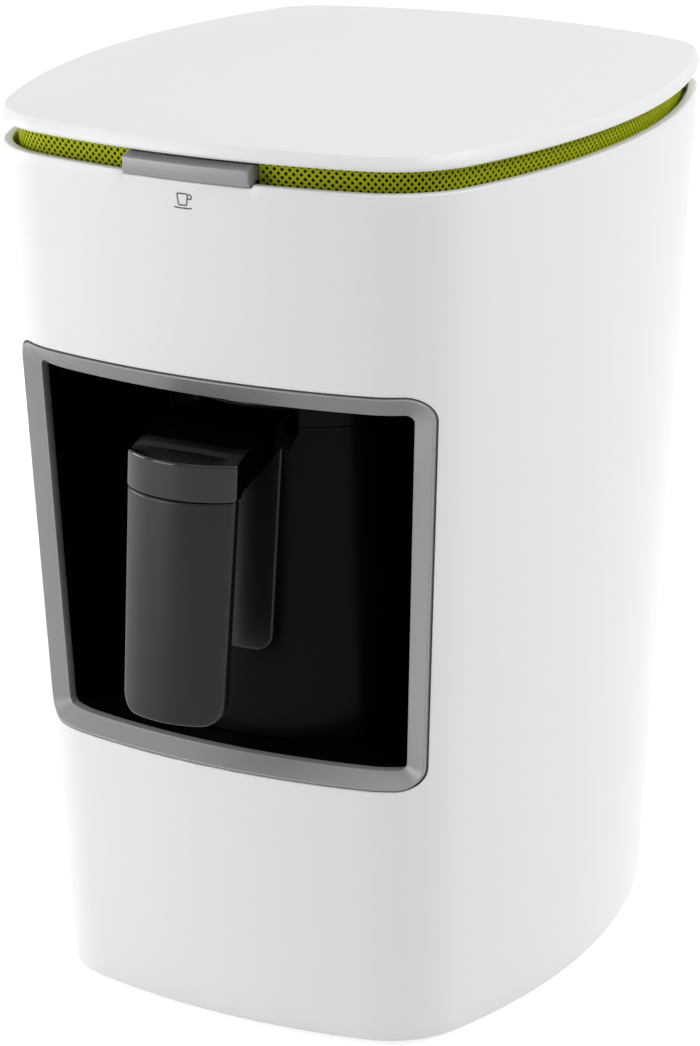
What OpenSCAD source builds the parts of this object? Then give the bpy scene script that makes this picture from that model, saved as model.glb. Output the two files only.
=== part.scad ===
// Electric Turkish coffee maker with a draw-out pot.
// +Z is up, the front faces -Y, the feet stand on Z = 0.

/* [Housing] */
// Width of the housing across its widest edge, at the top
body_w = 154; // [140:1:186]
// Depth of the housing at the top
body_d = 176; // [146:1:212]
// Height from the table to the crease round the top cover
body_h = 232; // [206:1:279]
// How much narrower the housing is at the bottom than at the top, in percent
taper = 12.5; // [6:0.5:15]
// Bulge radius of the front
front_r = 206; // [190:1:248]
// Bulge radius of the sides
side_r = 184; // [172:1:222]
// Bulge radius of the back
rear_r = 160; // [150:1:200]
// Radius of the two front corners
front_corner_r = 28; // [24:1:34]
// Radius of the two back corners
rear_corner_r = 20; // [17:1:28]
// Wall of the housing
wall = 2.5; // [2:0.1:3]
// Height of the rubber feet below the housing
foot_h = 2; // [1.5:0.1:3]
// Gap left between mating parts
fit = 0.3; // [0.2:0.05:0.4]

/* [Top] */
// Height of the top cover from its lower edge to its crease
cover_h = 3.6; // [3:0.1:5]
// Open gap between the top cover and the housing's rim
vent_gap = 5.2; // [4.5:0.1:6.5]
// How far the vent band stands back from the housing's outside
band_setback = 3.9; // [3.6:0.1:4.4]
// Thickness of the vent band
band_t = 0.8; // [0.6:0.1:1]
// Rise of the cover's crown above its crease
crown_h = 1.2; // [0.6:0.1:2]

/* [Window] */
// Height of the window's lower edge above the table
sill_h = 72; // [60:1:86]
// Height of the front from the window's upper edge to the cover's crease
header_h = 58.2; // [52:0.1:70]
// White pillar left of and right of the window
pillar_w = 16.5; // [14:0.1:20]
// Corner radius of the window
window_r = 6; // [5:0.1:8]
// Width of the sloping frame at the top, sides and bottom
bezel_w = 4.8; // [4:0.1:6]
// How far the frame's inner edge lies behind the housing's surface
bezel_depth = 4; // [3:0.1:5]

/* [Button] */
// Width of the start button bar
button_w = 33.4; // [24:0.1:40]
// Travel of the start button
button_travel = 1.5; // [1:0.1:2]

/* [Pot] */
// Gap from the pot's foot to the window frame, at each side
pot_side_gap = 6.5; // [5:0.1:9]
// Gap from the pot's rim to the niche's ceiling
pot_top_gap = 7.5; // [6:0.1:12]
// Distance from the pot's axis back from the front of the housing
pot_setback = 63; // [60:1:70]
// How much smaller the pot's radius is at the top than at the foot
pot_taper = 5; // [2:0.5:8]
// Wall of the pot's jacket
jacket_t = 2; // [1.6:0.1:2.4]
// Height of the heater space under the steel vessel
heater_space = 20.8; // [19:0.1:26]
// Width of the handle
handle_w = 30.4; // [26:0.1:36]
// Distance from the pot's axis to the handle's front corners
handle_reach = 66.4; // [62:0.1:80]
// Bulge of the handle's front face
handle_bulge = 5.4; // [3:0.1:7]
// Lean of the grip towards the user, in degrees
handle_lean = 5.4; // [0:0.1:8]

/* [Hidden] */
$fn = 64;
over = 1;

// Plan of the housing: four bulging sides joined by four corner arcs.
front_c_y = front_r - body_d / 2;
rear_c_y = body_d / 2 - rear_r;
side_c_x = body_w / 2 - side_r;
front_corner = meet([side_c_x, 0], side_r - front_corner_r, [0, front_c_y], front_r - front_corner_r);
rear_corner = meet([0, rear_c_y], rear_r - rear_corner_r, [side_c_x, 0], side_r - rear_corner_r);
long_steps = 12;
corner_steps = 8;

// Heights.
rim_z = body_h - cover_h - vent_gap;
cover_z = body_h - cover_h;
cover_top_t = 1.8;
tray_z = rim_z - 11.2;
tray_t = 2;
ledge_z = tray_z + 8.2;
board_t = 1.6;
control_board_z = tray_z + 8;
button_z = rim_z + 2.3;
icon_z = rim_z - 5.4;
ring_setback = band_setback + band_t + 0.1;
ring_t = 2;

// Window and niche.
window_top = body_h - header_h;
window_out = [body_w / 2 * k(sill_h) - pillar_w, body_w / 2 * k(window_top) - pillar_w,
              sill_h, window_top, window_r];
window_in = [window_out[0] - bezel_w - 0.3, window_out[1] - bezel_w - 1, sill_h + bezel_w - 0.7,
             window_top - bezel_w - 0.5, window_r - 4];
frame_t = bezel_depth + 0.6;
liner_t = 2;
niche_floor = window_in[2];
niche_ceiling = window_in[3];

// Pot.
pot_y = pot_setback - body_d / 2;
pot_foot_r = min(window_in[0] - pot_side_gap, pot_setback - 20.5);
pot_top_r = pot_foot_r - pot_taper;
rim_h = 0.8;
pot_rim_z = niche_ceiling - pot_top_gap;
collar_h = 4.5;
collar_z = pot_rim_z - collar_h;
jacket_z = niche_floor + 0.5;
vessel_z = niche_floor + heater_space;
vessel_t = 0.8;
vessel_gap = 3;
niche_r = max(window_in[1], pot_foot_r + 7) + 0.8;
niche_c_y = pot_y + pot_foot_r + 6.5 - niche_r;
niche_rear = niche_c_y + niche_r;
contact_z = niche_floor + 7.8;
contact_pitch = 9;
blade_t = 0.8;
blade_h = 6.3;

// Handle, measured from the pot's axis.
handle_y = pot_y - handle_reach;
handle_r = (handle_w * handle_w / 4 + handle_bulge * handle_bulge) / (2 * handle_bulge);
cap_joint_z = pot_rim_z - 14;
cap_edge_z = pot_rim_z - 5;
grip_edge_t = 2.2;
grip_bottom_z = niche_floor + 15.5;
grip_gap = 0.05;

// Whole object centred front to back over its feet.
handle_front = handle_y - handle_bulge * cos(handle_lean)
               - (cap_edge_z - grip_bottom_z + handle_bulge * sin(handle_lean)) * tan(handle_lean);
body_y = -(handle_front + body_d / 2) / 2;

// Outer centre of a circle that touches two others from the inside.
function meet(p, rp, q, rq) =
    let (d = norm(q - p), a = (rp * rp - rq * rq + d * d) / (2 * d), u = (q - p) / d)
    p + a * u + sqrt(rp * rp - a * a) * [u[1], -u[0]];

// Share of the full plan size at height z.
function k(z) = 1 - taper / 100 * (body_h - z) / (body_h - foot_h);

function arc(c, r, a0, a1, n) =
    [for (i = [0 : n - 1]) c + r * [cos(a0 + (a1 - a0) * i / n), sin(a0 + (a1 - a0) * i / n)]];

// Angles at which the corner arcs leave the sides and the front or back.
function side_angle(c) = atan2(c[1], c[0] - side_c_x);
function end_angle(c, y) = atan2(c[1] - y, c[0]);
front_side_a = side_angle(front_corner);
rear_side_a = side_angle(rear_corner);
front_end_a = end_angle(front_corner, front_c_y);
rear_end_a = end_angle(rear_corner, rear_c_y);

// Plan outline at full size, moved inwards by off.
function plan(off) = concat(
    arc([side_c_x, 0], side_r - off, front_side_a, rear_side_a, long_steps),
    arc(rear_corner, rear_corner_r - off, rear_side_a, rear_end_a, corner_steps),
    arc([0, rear_c_y], rear_r - off, rear_end_a, 180 - rear_end_a, long_steps),
    arc([-rear_corner[0], rear_corner[1]], rear_corner_r - off,
        180 - rear_end_a, 180 - rear_side_a, corner_steps),
    arc([-side_c_x, 0], side_r - off, 180 - rear_side_a, 180 - front_side_a, long_steps),
    arc([-front_corner[0], front_corner[1]], front_corner_r - off,
        180 - front_side_a, 180 - front_end_a, corner_steps),
    arc([0, front_c_y], front_r - off, 180 - front_end_a, 360 + front_end_a, long_steps),
    arc(front_corner, front_corner_r - off, 360 + front_end_a, 360 + front_side_a, corner_steps));

// Y of the housing's front at a point of the front, moved inwards by off.
function front_y(x, z, off = 0) =
    let (s = k(z), u = abs(x) / s, r = front_r - off, c = front_corner_r - off)
    s * (u <= r * cos(front_end_a)
         ? front_c_y - sqrt(r * r - u * u)
         : front_corner[1] - sqrt(c * c - pow(u - front_corner[0], 2)));

// X of the housing's side, moved inwards by off.
function side_x(y, z, off) =
    k(z) * (side_c_x + sqrt(pow(side_r - off, 2) - pow(y / k(z), 2)));

// Y of the back, moved inwards by off, on the centre line.
function back_y(z, off) = k(z) * (body_d / 2 - off);

// Window outline w = [half width below, half width above, lower z, upper z, corner radius].
function lean_of(w) = (w[1] - w[0]) / (w[3] - w[2]);
function corner_x(w, z) = w[0] + (z - w[2]) * lean_of(w) - w[4] * sqrt(1 + pow(lean_of(w), 2));
function grown(w, g) = [w[0] + g, w[1] + g, w[2] - g, w[3] + g, w[4] + g];
function row(p, q, n) = [for (i = [0 : n - 1]) p + (q - p) * i / n];
function window(w, n = 6, m = 10) =
    let (a = atan(lean_of(w)), z1 = w[3] - w[4], z0 = w[2] + w[4],
         x1 = corner_x(w, z1), x0 = corner_x(w, z0), r = w[4],
         right = r * [cos(a), -sin(a)], left = [-right[0], right[1]])
    concat(arc([x1, z1], r, -a, 90, n), row([x1, w[3]], [-x1, w[3]], m),
           arc([-x1, z1], r, 90, 180 + a, n), row([-x1, z1] + left, [-x0, z0] + left, m),
           arc([-x0, z0], r, 180 + a, 270, n), row([-x0, w[2]], [x0, w[2]], m),
           arc([x0, z0], r, 270, 360 - a, n), row([x0, z0] + right, [x1, z1] + right, m));

// Radius of the pot's jacket at height z.
function jacket_r(z) = pot_foot_r - pot_taper * (z - jacket_z) / (collar_z - jacket_z);

// Smooth route through chosen points.
function cut(p) = concat([p[0]],
    [for (i = [0 : len(p) - 2], t = [0.25, 0.75]) p[i] + (p[i + 1] - p[i]) * t], [p[len(p) - 1]]);
function smooth(p, n) = n == 0 ? p : smooth(cut(p), n - 1);

module place() {
    translate([0, body_y, 0]) children();
}

// Solid of the housing's plan between two heights, off inside its surface.
module tapered(off, z0, z1) {
    translate([0, 0, z0])
        linear_extrude(height = z1 - z0, scale = k(z1) / k(z0))
            polygon([for (p = plan(off)) p * k(z0)]);
}

// Upright outline in X and Z, extruded from y0 back to y1.
module prism(outline, y0, y1) {
    translate([0, y1, 0])
        rotate([90, 0, 0])
            linear_extrude(height = y1 - y0) polygon(outline);
}

// Box between two corners.
module box(low, high) {
    translate(low) cube(high - low);
}

// Closed solid through equal rings of points.
module skin(rings, closed) {
    n = len(rings[0]);
    m = len(rings);
    last = closed ? m - 1 : m - 2;
    sides = [for (i = [0 : last], j = [0 : n - 1], t = [0, 1])
        let (a = i * n + j, b = i * n + (j + 1) % n,
             c = ((i + 1) % m) * n + (j + 1) % n, d = ((i + 1) % m) * n + j)
        t == 0 ? [a, b, c] : [a, c, d]];
    ends = closed ? [] : [[for (j = [n - 1 : -1 : 0]) j], [for (j = [0 : n - 1]) (m - 1) * n + j]];
    polyhedron(points = [for (ring = rings, p = ring) p], faces = concat(sides, ends));
}

// Round lead of radius r along a route in the plane of its own bends.
module lead(route, r) {
    p = smooth(route, 2);
    n = len(p);
    sides = 8;
    skin([for (i = [0 : n - 1])
        let (d = p[min(i + 1, n - 1)] - p[max(i - 1, 0)], t = d / norm(d),
             side = abs(t[0]) > 0.9 ? [0, 1, 0] : [1, 0, 0],
             v = cross(side, t) / norm(cross(side, t)), u = cross(t, v))
        [for (j = [0 : sides - 1]) p[i] + r * (cos(j * 360 / sides) * u + sin(j * 360 / sides) * v)]],
        false);
}

// Screw pointing down from its head's underside at the origin, with a cross recess.
module screw(shank_r, length, head_r, head_h) {
    translate([0, 0, -length]) cylinder(r = shank_r, h = length);
    difference() {
        cylinder(r = head_r, h = head_h);
        for (a = [0, 90])
            rotate([0, 0, a]) translate([-head_r * 0.6, -0.3, head_h * 0.5])
                cube([head_r * 1.2, 0.6, head_h]);
    }
}

// Post of the housing for a screw, tied to the nearest side wall.
module side_post(x, y, z0, z1, r, pilot_r) {
    reach = side_x(y, z1, 0) - abs(x);
    difference() {
        intersection() {
            union() {
                translate([x, y, z0]) cylinder(r = r, h = z1 - z0);
                mirror([x < 0 ? 1 : 0, 0, 0]) translate([abs(x), y - 1.2, z0]) cube([reach, 2.4, z1 - z0]);
            }
            tapered(wall / 2, z0 - over, z1 + over);
        }
        translate([x, y, z0 - over]) cylinder(r = pilot_r, h = z1 - z0 + 2 * over);
    }
}

// Places that several parts share.
base_z = foot_h + 1;
base_t = 2.5;
boss_h = 5;
screw_r = 1.45;
pilot_r = 1.5;
base_post_z = base_z + boss_h + 0.1;
base_screw_y = [-22, 26];
function base_screw_x(y) = side_x(y, base_post_z, 0) - 9.5;
carrier_screw_y = [-40, 44];
function carrier_screw_x(y) = side_x(y, tray_z, 0) - 14;
front_foot = front_corner * k(foot_h) + [12.1, -1.2];
rear_foot = rear_corner * k(foot_h) + [6.2, 1.1];
feet = [for (p = [front_foot, rear_foot], s = [-1, 1]) [s * p[0], p[1]]];
ear_x = window_in[0] - 14;
ear_z = [sill_h - 6.5, window_top + 4.5];
ear_y = front_y(ear_x, ear_z[0]) + 8.8;
ear_t = 2.5;
gland_z = 24;
gland_r = 5.4;

module outer_shell() {
    place() color("white") difference() {
        union() {
            difference() {
                tapered(0, foot_h, rim_z);
                tapered(wall, foot_h - over, rim_z + over);
            }
            for (s = [-1, 1], y = base_screw_y)
                side_post(s * base_screw_x(y), y, base_post_z, base_post_z + 18, 4, pilot_r);
            for (s = [-1, 1], y = carrier_screw_y)
                side_post(s * carrier_screw_x(y), y, tray_z - 22, tray_z, 4, pilot_r);
            for (s = [-1, 1], z = ear_z)
                ear_boss(s * ear_x, z);
        }
        prism(window(grown(window_out, 0.1)), -body_d, pot_y);
        translate([0, back_y(gland_z, 0) - 10, gland_z]) rotate([-90, 0, 0])
            cylinder(r = gland_r + 0.1, h = 20);
    }
}

// Boss behind the front wall that takes a screw of the niche liner.
module ear_boss(x, z) {
    y0 = front_y(x, z) + wall / 2;
    difference() {
        intersection() {
            translate([x, y0 - 4, z]) rotate([-90, 0, 0]) cylinder(r = 3.4, h = ear_y - y0 + 4);
            tapered(wall / 2, z - 10, z + 10);
        }
        translate([x, ear_y - 7, z]) rotate([-90, 0, 0]) cylinder(r = pilot_r, h = 10);
    }
}

// Cover: a skirt that leans in to the crease, a low crown, and a pocket underneath.
module top_cover() {
    skirt_off = 3.6;
    place() color("white") {
        difference() {
            union() {
                cover_step(0.8, 0.1, cover_z, cover_z + 0.6);
                cover_step(0.1, 1.35, cover_z + 0.6, body_h);
                cover_step(1.35, 8, body_h, body_h + crown_h * 0.5);
                cover_step(8, 26, body_h + crown_h * 0.5, body_h + crown_h);
            }
            tapered(skirt_off, cover_z - over, body_h - cover_top_t);
        }
        for (s = [-1, 1], y = hook_y)
            hook(s, y);
    }
}

hook_y = [-25, 30];
hook_w = 8;
hook_z = tray_z + 4.6;
function hook_x(y) = side_x(abs(y) + hook_w / 2, tray_z, ring_setback + ring_t) - fit;

// Slice of the cover whose inset goes from off0 to off1.
module cover_step(off0, off1, z0, z1) {
    half = body_w / 2;
    translate([0, 0, z0])
        linear_extrude(height = z1 - z0, scale = (half - off1) / (half - off0))
            polygon(plan(off0));
}

// Snap hook from the cover's ceiling down inside the carrier's ring.
module hook(s, y) {
    x = hook_x(y);
    mirror([s < 0 ? 1 : 0, 0, 0]) {
        box([x - 2, y - hook_w / 2, hook_z], [x, y + hook_w / 2, body_h - cover_top_t]);
        box([x - over, y - hook_w / 2, hook_z], [x + 1.6, y + hook_w / 2, hook_z + 1.5]);
    }
}

module button_notch(z0) {
    notch = button_w / 2 + 0.5;
    box([-notch, -body_d / 2, z0], [notch, -body_d / 2 + 14, body_h]);
}

module vent_band() {
    place() color("olivedrab") difference() {
        tapered(band_setback, ledge_z, cover_z + 0.9);
        tapered(band_setback + band_t, ledge_z - over, body_h);
        button_notch(rim_z - 0.4);
    }
}

guide_y = -body_d / 2 + 11.4;
guide_t = 2.5;
stem_x = 11;
stem_r = 1.5;
tray_hole_x = 24;

// Tray under the cover: plate, ring wall with a ledge for the band, board bosses, button guide.
module cover_carrier() {
    place() color("dimgray") difference() {
        union() {
            tapered(wall + fit, tray_z, tray_z + tray_t);
            difference() {
                union() {
                    tapered(wall + 0.5, tray_z, ledge_z);
                    tapered(ring_setback, tray_z, cover_z + 0.5);
                }
                tapered(ring_setback + ring_t, tray_z - over, body_h);
                button_notch(rim_z - 0.7);
            }
            for (p = control_board_holes)
                translate([p[0], p[1], tray_z]) cylinder(r = 3, h = control_board_z - tray_z);
            box([-16, guide_y, tray_z], [16, guide_y + guide_t, button_z + 3.4]);
        }
        for (s = [-1, 1], y = carrier_screw_y)
            translate([s * carrier_screw_x(y), y, tray_z - over]) cylinder(r = 1.7, h = tray_t + 2 * over);
        for (p = control_board_holes)
            translate([p[0], p[1], tray_z + tray_t]) cylinder(r = 1.1, h = 10);
        for (s = [-1, 1])
            translate([s * stem_x, guide_y - over, button_z]) rotate([-90, 0, 0])
                cylinder(r = stem_r + 0.08, h = guide_t + 2 * over);
        box([-2.4, guide_y - over, button_z - 2], [2.4, guide_y + guide_t + over, button_z + 5]);
        for (s = [-1, 1], y = hook_y)
            mirror([s < 0 ? 1 : 0, 0, 0])
                box([hook_x(y) - over, y - hook_w / 2 - fit, hook_z - fit],
                    [hook_x(y) + 9, y + hook_w / 2 + fit, hook_z + 1.5 + fit]);
        translate([0, guide_y - 8, icon_z]) rotate([-90, 0, 0]) cylinder(r = 2.1, h = 14);
        box([tray_hole_x - 5, control_board_y[0] + 3, tray_z - over],
            [tray_hole_x + 5, control_board_y[1] - 3, tray_z + tray_t + over]);
        box([-6, pot_y - 22, tray_z - over], [6, pot_y - 6, tray_z + tray_t + over]);
    }
}

module carrier_screws() {
    place() color("silver") for (s = [-1, 1], y = carrier_screw_y)
        translate([s * carrier_screw_x(y), y, tray_z + tray_t]) screw(screw_r, 12, 2.8, 2);
}

module start_button() {
    front = body_d / 2 * k(button_z) + 0.9;
    rear = guide_y - 6;
    place() color("gray") {
        difference() {
            intersection() {
                box([-button_w / 2, -front - over, button_z - 1.8], [button_w / 2, rear, button_z + 2.1]);
                translate([0, front_r - front, button_z - 5]) cylinder(r = front_r, h = 10, $fn = 200);
            }
            translate([0, 0, button_z + 2.1]) rotate([0, 90, 0])
                translate([0, -front + 1.7, -button_w])
                    cylinder(r = 0.35, h = 2 * button_w, $fn = 24);
        }
        for (s = [-1, 1])
            translate([s * stem_x, rear - 0.5, button_z]) rotate([-90, 0, 0]) {
                cylinder(r = stem_r, h = guide_y + guide_t + 1.6 - rear + 0.5);
                translate([0, 0, guide_y + guide_t - rear + 0.5]) cylinder(r = stem_r + 0.6, h = 1.6);
            }
        box([-2, rear - 0.5, button_z - 1.5], [2, switch_y - plunger_reach, button_z + 1.5]);
    }
}

spring_turns = 4;
spring_steps = 14;
spring_wire = 0.25;
spring_coil_r = 2.2;

// Two compression springs round the button's stems.
module button_springs() {
    front = guide_y - 6;
    length = 6;
    place() color("silver") for (s = [-1, 1])
        translate([s * stem_x, front, button_z]) rotate([-90, 0, 0])
            skin([for (i = [0 : spring_turns * spring_steps])
                let (a = i * 360 / spring_steps,
                     z = spring_wire + (length - 2 * spring_wire) * i / (spring_turns * spring_steps))
                [for (j = [0 : 5])
                    let (c = spring_coil_r + spring_wire * cos(j * 60))
                    [c * cos(a), c * sin(a), z + spring_wire * sin(j * 60)]]], false);
}

switch_y = guide_y + guide_t + 4.2;
plunger_reach = 2.6;
plunger_r = 1.5;
switch_top = button_z + 3.6;

module push_switch() {
    place() color("black") difference() {
        box([-6, switch_y, control_board_z + board_t], [6, switch_y + 8, switch_top]);
        translate([0, switch_y - over, button_z]) rotate([-90, 0, 0])
            cylinder(r = plunger_r + 0.08, h = 6.8 + over);
    }
}

module switch_plunger() {
    place() color("orange") translate([0, switch_y - plunger_reach, button_z]) rotate([-90, 0, 0])
        cylinder(r = plunger_r, h = plunger_reach + 4.5);
}

control_board_x = 42;
control_board_y = [switch_y - 0.6, pot_y + 6];
control_board_holes = [for (x = [-1, 1], y = [control_board_y[0] + 7, control_board_y[1] - 6])
    [x * (control_board_x - 5), y]];

module control_board() {
    z = control_board_z + board_t;
    place() color("green") difference() {
        union() {
            box([-control_board_x, control_board_y[0], control_board_z],
                [control_board_x, control_board_y[1], z]);
            box([-28, control_board_y[0] + 18, z], [-18, control_board_y[0] + 28, z + 1.5]);
            box([16, control_board_y[1] - 14, z], [32, control_board_y[1] - 8, z + 5]);
            for (i = [0 : 3])
                box([-12 + 6 * i, control_board_y[0] + 22, z],
                    [-8.8 + 6 * i, control_board_y[0] + 23.6, z + 0.8]);
        }
        for (p = control_board_holes)
            translate([p[0], p[1], control_board_z - over]) cylinder(r = 1.3, h = board_t + 2 * over);
    }
}

module control_board_screws() {
    place() color("silver") for (p = control_board_holes)
        translate([p[0], p[1], control_board_z + board_t]) screw(1.05, 7, 2.2, 1.6);
}

light_y = guide_y + guide_t + 0.6;

// Light behind the cup symbol, hung on its legs from the control board.
module status_light() {
    place() color("ivory") {
        translate([0, light_y, icon_z]) rotate([-90, 0, 0]) cylinder(r = 1.5, h = 4.5);
        for (x = [-1, 1])
            box([x * 0.9 - 0.25, light_y + 4, icon_z - 0.25],
                [x * 0.9 + 0.25, light_y + 6, icon_z + 0.25]);
        for (x = [-1, 1])
            box([x * 0.9 - 0.25, light_y + 5.5, icon_z - 0.25],
                [x * 0.9 + 0.25, light_y + 6, control_board_z]);
    }
}

module light_guide() {
    y0 = front_y(0, icon_z) + wall + 0.1;
    place() color("lightcyan") translate([0, y0, icon_z]) rotate([-90, 0, 0])
        cylinder(r = 2, h = light_y - 0.2 - y0);
}

module buzzer() {
    place() color("black") translate([-26, control_board_y[1] - 12, control_board_z + board_t])
        difference() {
            cylinder(r = 6, h = 5.5);
            translate([0, 0, 4.5]) cylinder(r = 1, h = 2);
        }
}

// Base plate that closes the housing from below.
module base_plate() {
    place() color("black") difference() {
        union() {
            tapered(wall + fit, base_z, base_z + base_t);
            for (s = [-1, 1], y = base_screw_y)
                translate([s * base_screw_x(y), y, base_z]) cylinder(r = 5.4, h = boss_h);
            for (p = power_board_holes)
                translate([p[0], p[1], base_z]) cylinder(r = 3.2, h = power_board_z - base_z);
        }
        for (s = [-1, 1], y = base_screw_y)
            translate([s * base_screw_x(y), y, base_z - over]) {
                cylinder(r = 1.8, h = boss_h + 2 * over);
                cylinder(r = 3.3, h = over + 3);
            }
        for (p = feet)
            translate([p[0], p[1], base_z - over]) cylinder(r = foot_stem_r + 0.05, h = base_t + 2 * over);
        for (p = power_board_holes)
            translate([p[0], p[1], base_z + base_t]) cylinder(r = 1.1, h = power_board_z);
        for (i = [-4 : 4])
            translate([i * 6, 0, base_z - over]) linear_extrude(height = base_t + 2 * over)
                slot(14, 1.2);
    }
}

module slot(length, r) {
    square([2 * r, length - 2 * r], center = true);
    for (s = [-1, 1])
        translate([0, s * (length / 2 - r)]) circle(r = r, $fn = 24);
}

foot_r = 7;
foot_stem_r = 2.5;

module rubber_feet() {
    place() color("dimgray") for (p = feet)
        translate([p[0], p[1], 0]) {
            cylinder(r1 = foot_r - 0.6, r2 = foot_r, h = 0.6);
            translate([0, 0, 0.6]) cylinder(r = foot_r, h = base_z - 0.6);
            translate([0, 0, base_z]) cylinder(r = foot_stem_r, h = base_t + 0.5);
        }
}

module base_screws() {
    place() color("silver") for (s = [-1, 1], y = base_screw_y)
        translate([s * base_screw_x(y), y, base_z + 3]) mirror([0, 0, 1]) screw(screw_r, 14, 2.9, 2.2);
}

// Frame round the window: narrow lip, sloping face, four clips behind the wall.
module window_frame() {
    outer = window(window_out);
    inner = window(window_in);
    lip = 0.4;
    proud = 0.3;
    clip = 3;
    place() color("darkgray") {
        skin([for (i = [0 : len(outer) - 1])
            let (p = outer[i], q = inner[i], b = p + (q - p) * lip / norm(q - p))
            [[p[0], front_y(p[0], p[1], -proud), p[1]],
             [b[0], front_y(b[0], b[1], -proud), b[1]],
             [q[0], front_y(q[0], q[1], bezel_depth), q[1]],
             [q[0], front_y(q[0], q[1], frame_t), q[1]],
             [p[0], front_y(p[0], p[1]) + frame_t - 0.5, p[1]]]], true);
        for (x = [8 - ear_x, ear_x - 8], s = [-1, 1]) {
            z = s > 0 ? window_top + 0.4 : sill_h - 0.4;
            y = front_y(abs(x) + clip, z);
            box([x - clip, y + wall + 0.2, z - 1], [x + clip, y + frame_t - 0.7, z + 1]);
        }
    }
}

// Plan of the niche: straight from the front, then round behind the pot.
module niche_plan(r) {
    circle(r = r, $fn = 96);
    translate([-r, -body_d]) square([2 * r, body_d]);
}

// Niche liner with the sensor hole, the contact window, four ears and the block's bosses.
module niche_liner() {
    mouth = frame_t + 0.6;
    place() color("#151515") difference() {
        union() {
            intersection() {
                prism(window(grown(window_in, liner_t)), -body_d, niche_rear + 10);
                translate([0, niche_c_y, 0]) linear_extrude(height = body_h) niche_plan(niche_r + liner_t);
                tapered(mouth, niche_floor - 20, niche_ceiling + 20);
            }
            for (s = [-1, 1]) {
                ear(s * ear_x, ear_z[0] - 5, niche_floor - 0.5);
                ear(s * ear_x, niche_ceiling + 0.5, ear_z[1] + 5);
                block_boss(s);
            }
        }
        intersection() {
            prism(window(window_in), -body_d, niche_rear + 10);
            translate([0, niche_c_y, 0]) linear_extrude(height = body_h) niche_plan(niche_r);
        }
        for (s = [-1, 1], z = ear_z)
            translate([s * ear_x, ear_y - over, z]) rotate([-90, 0, 0])
                cylinder(r = 1.7, h = ear_t + 2 * over);
        for (s = [-1, 1])
            translate([s * block_screw_x, niche_rear - 3, contact_z]) rotate([-90, 0, 0])
                cylinder(r = pilot_r, h = 8);
        translate([0, pot_y, niche_ceiling - over]) cylinder(r = sensor_r + 0.2, h = 10);
        box([-block_x - 0.2, niche_rear - 8, contact_z - block_h / 2 - 0.2],
            [block_x + 0.2, niche_rear + 8, contact_z + block_h / 2 + 0.2]);
    }
}

module ear(x, z0, z1) {
    box([x - 5, ear_y, z0], [x + 5, ear_y + ear_t, z1]);
}

block_x = 15;
block_h = 13;
block_front = niche_rear - 1.5;
block_screw_x = 24;
flange_y = niche_rear + liner_t + 0.1;
flange_t = 2.6;

// Boss behind the niche for a screw of the contact block, standing in the liner's own wall.
module block_boss(s) {
    wall_y = niche_c_y + sqrt(pow(niche_r, 2) - pow(block_screw_x - 3.5, 2)) + 0.5;
    translate([s * block_screw_x, wall_y, contact_z]) rotate([-90, 0, 0])
        cylinder(r = 3.5, h = flange_y - wall_y);
}

module liner_screws() {
    place() color("silver") for (s = [-1, 1], z = ear_z)
        translate([s * ear_x, ear_y + ear_t, z]) rotate([-90, 0, 0]) screw(screw_r, 8, 2.8, 2);
}

// Empty inlet for the mains lead at the back.
module cord_gland() {
    outside = back_y(gland_z, 0) + 0.5;
    inside = back_y(gland_z, wall) - 0.5;
    place() color("black") translate([0, 0, gland_z]) difference() {
        union() {
            translate([0, inside - 3, 0]) rotate([-90, 0, 0]) cylinder(r = 8, h = 3);
            translate([0, inside - 1, 0]) rotate([-90, 0, 0]) cylinder(r = gland_r, h = outside - inside + 2);
            translate([0, outside, 0]) rotate([-90, 0, 0]) cylinder(r = 8, h = 1.6);
            translate([0, outside + 0.6, 0]) rotate([-90, 0, 0]) cylinder(r1 = 6.6, r2 = 5.6, h = 4);
        }
        translate([0, inside - 4, 0]) rotate([-90, 0, 0]) cylinder(r = 3.4, h = 20);
    }
}

sensor_r = 9.5;
lens_z = niche_ceiling + 0.3;

// Overflow sensor in the niche's ceiling, over the pot.
module sensor_housing() {
    flange_z = niche_ceiling + liner_t + 0.05;
    place() color("black") translate([0, pot_y, 0]) difference() {
        union() {
            translate([0, 0, niche_ceiling]) cylinder(r = sensor_r, h = 16);
            translate([0, 0, flange_z]) cylinder(r = 13, h = 2);
        }
        translate([0, 0, niche_ceiling - over]) cylinder(r = 8.3, h = 15);
        translate([0, 0, niche_ceiling]) cylinder(r = 1.6, h = 20);
    }
}

module sensor_lens() {
    place() color("#301010") translate([0, pot_y, lens_z]) cylinder(r = 8.25, h = 2);
}

module sensor_board() {
    place() color("green") translate([0, pot_y, lens_z + 8]) {
        cylinder(r = 8.25, h = 1.2);
        translate([0, 0, -3]) cylinder(r = 2.5, h = 3);
    }
}

power_board_z = base_z + 11;
power_board_x = 40;
power_board_y = [-36, 40];
power_board_holes = [for (x = [-1, 1], y = [power_board_y[0] + 6, power_board_y[1] - 6])
    [x * (power_board_x - 5), y]];
power_top = power_board_z + board_t;

module power_board() {
    place() color("darkgreen") difference() {
        union() {
            box([-power_board_x, power_board_y[0], power_board_z],
                [power_board_x, power_board_y[1], power_top]);
            box([18, -30, power_top], [31, -28, power_top + 14]);
            box([-6, -4, power_top], [2, 1, power_top + 3]);
        }
        for (p = power_board_holes)
            translate([p[0], p[1], power_board_z - over]) cylinder(r = 1.3, h = board_t + 2 * over);
    }
}

module power_board_screws() {
    place() color("silver") for (p = power_board_holes)
        translate([p[0], p[1], power_top]) screw(1.05, 7, 2.2, 1.6);
}

module relay() {
    place() color("royalblue") box([-26, -22, power_top], [-10, 6, power_top + 15.5]);
}

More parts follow.
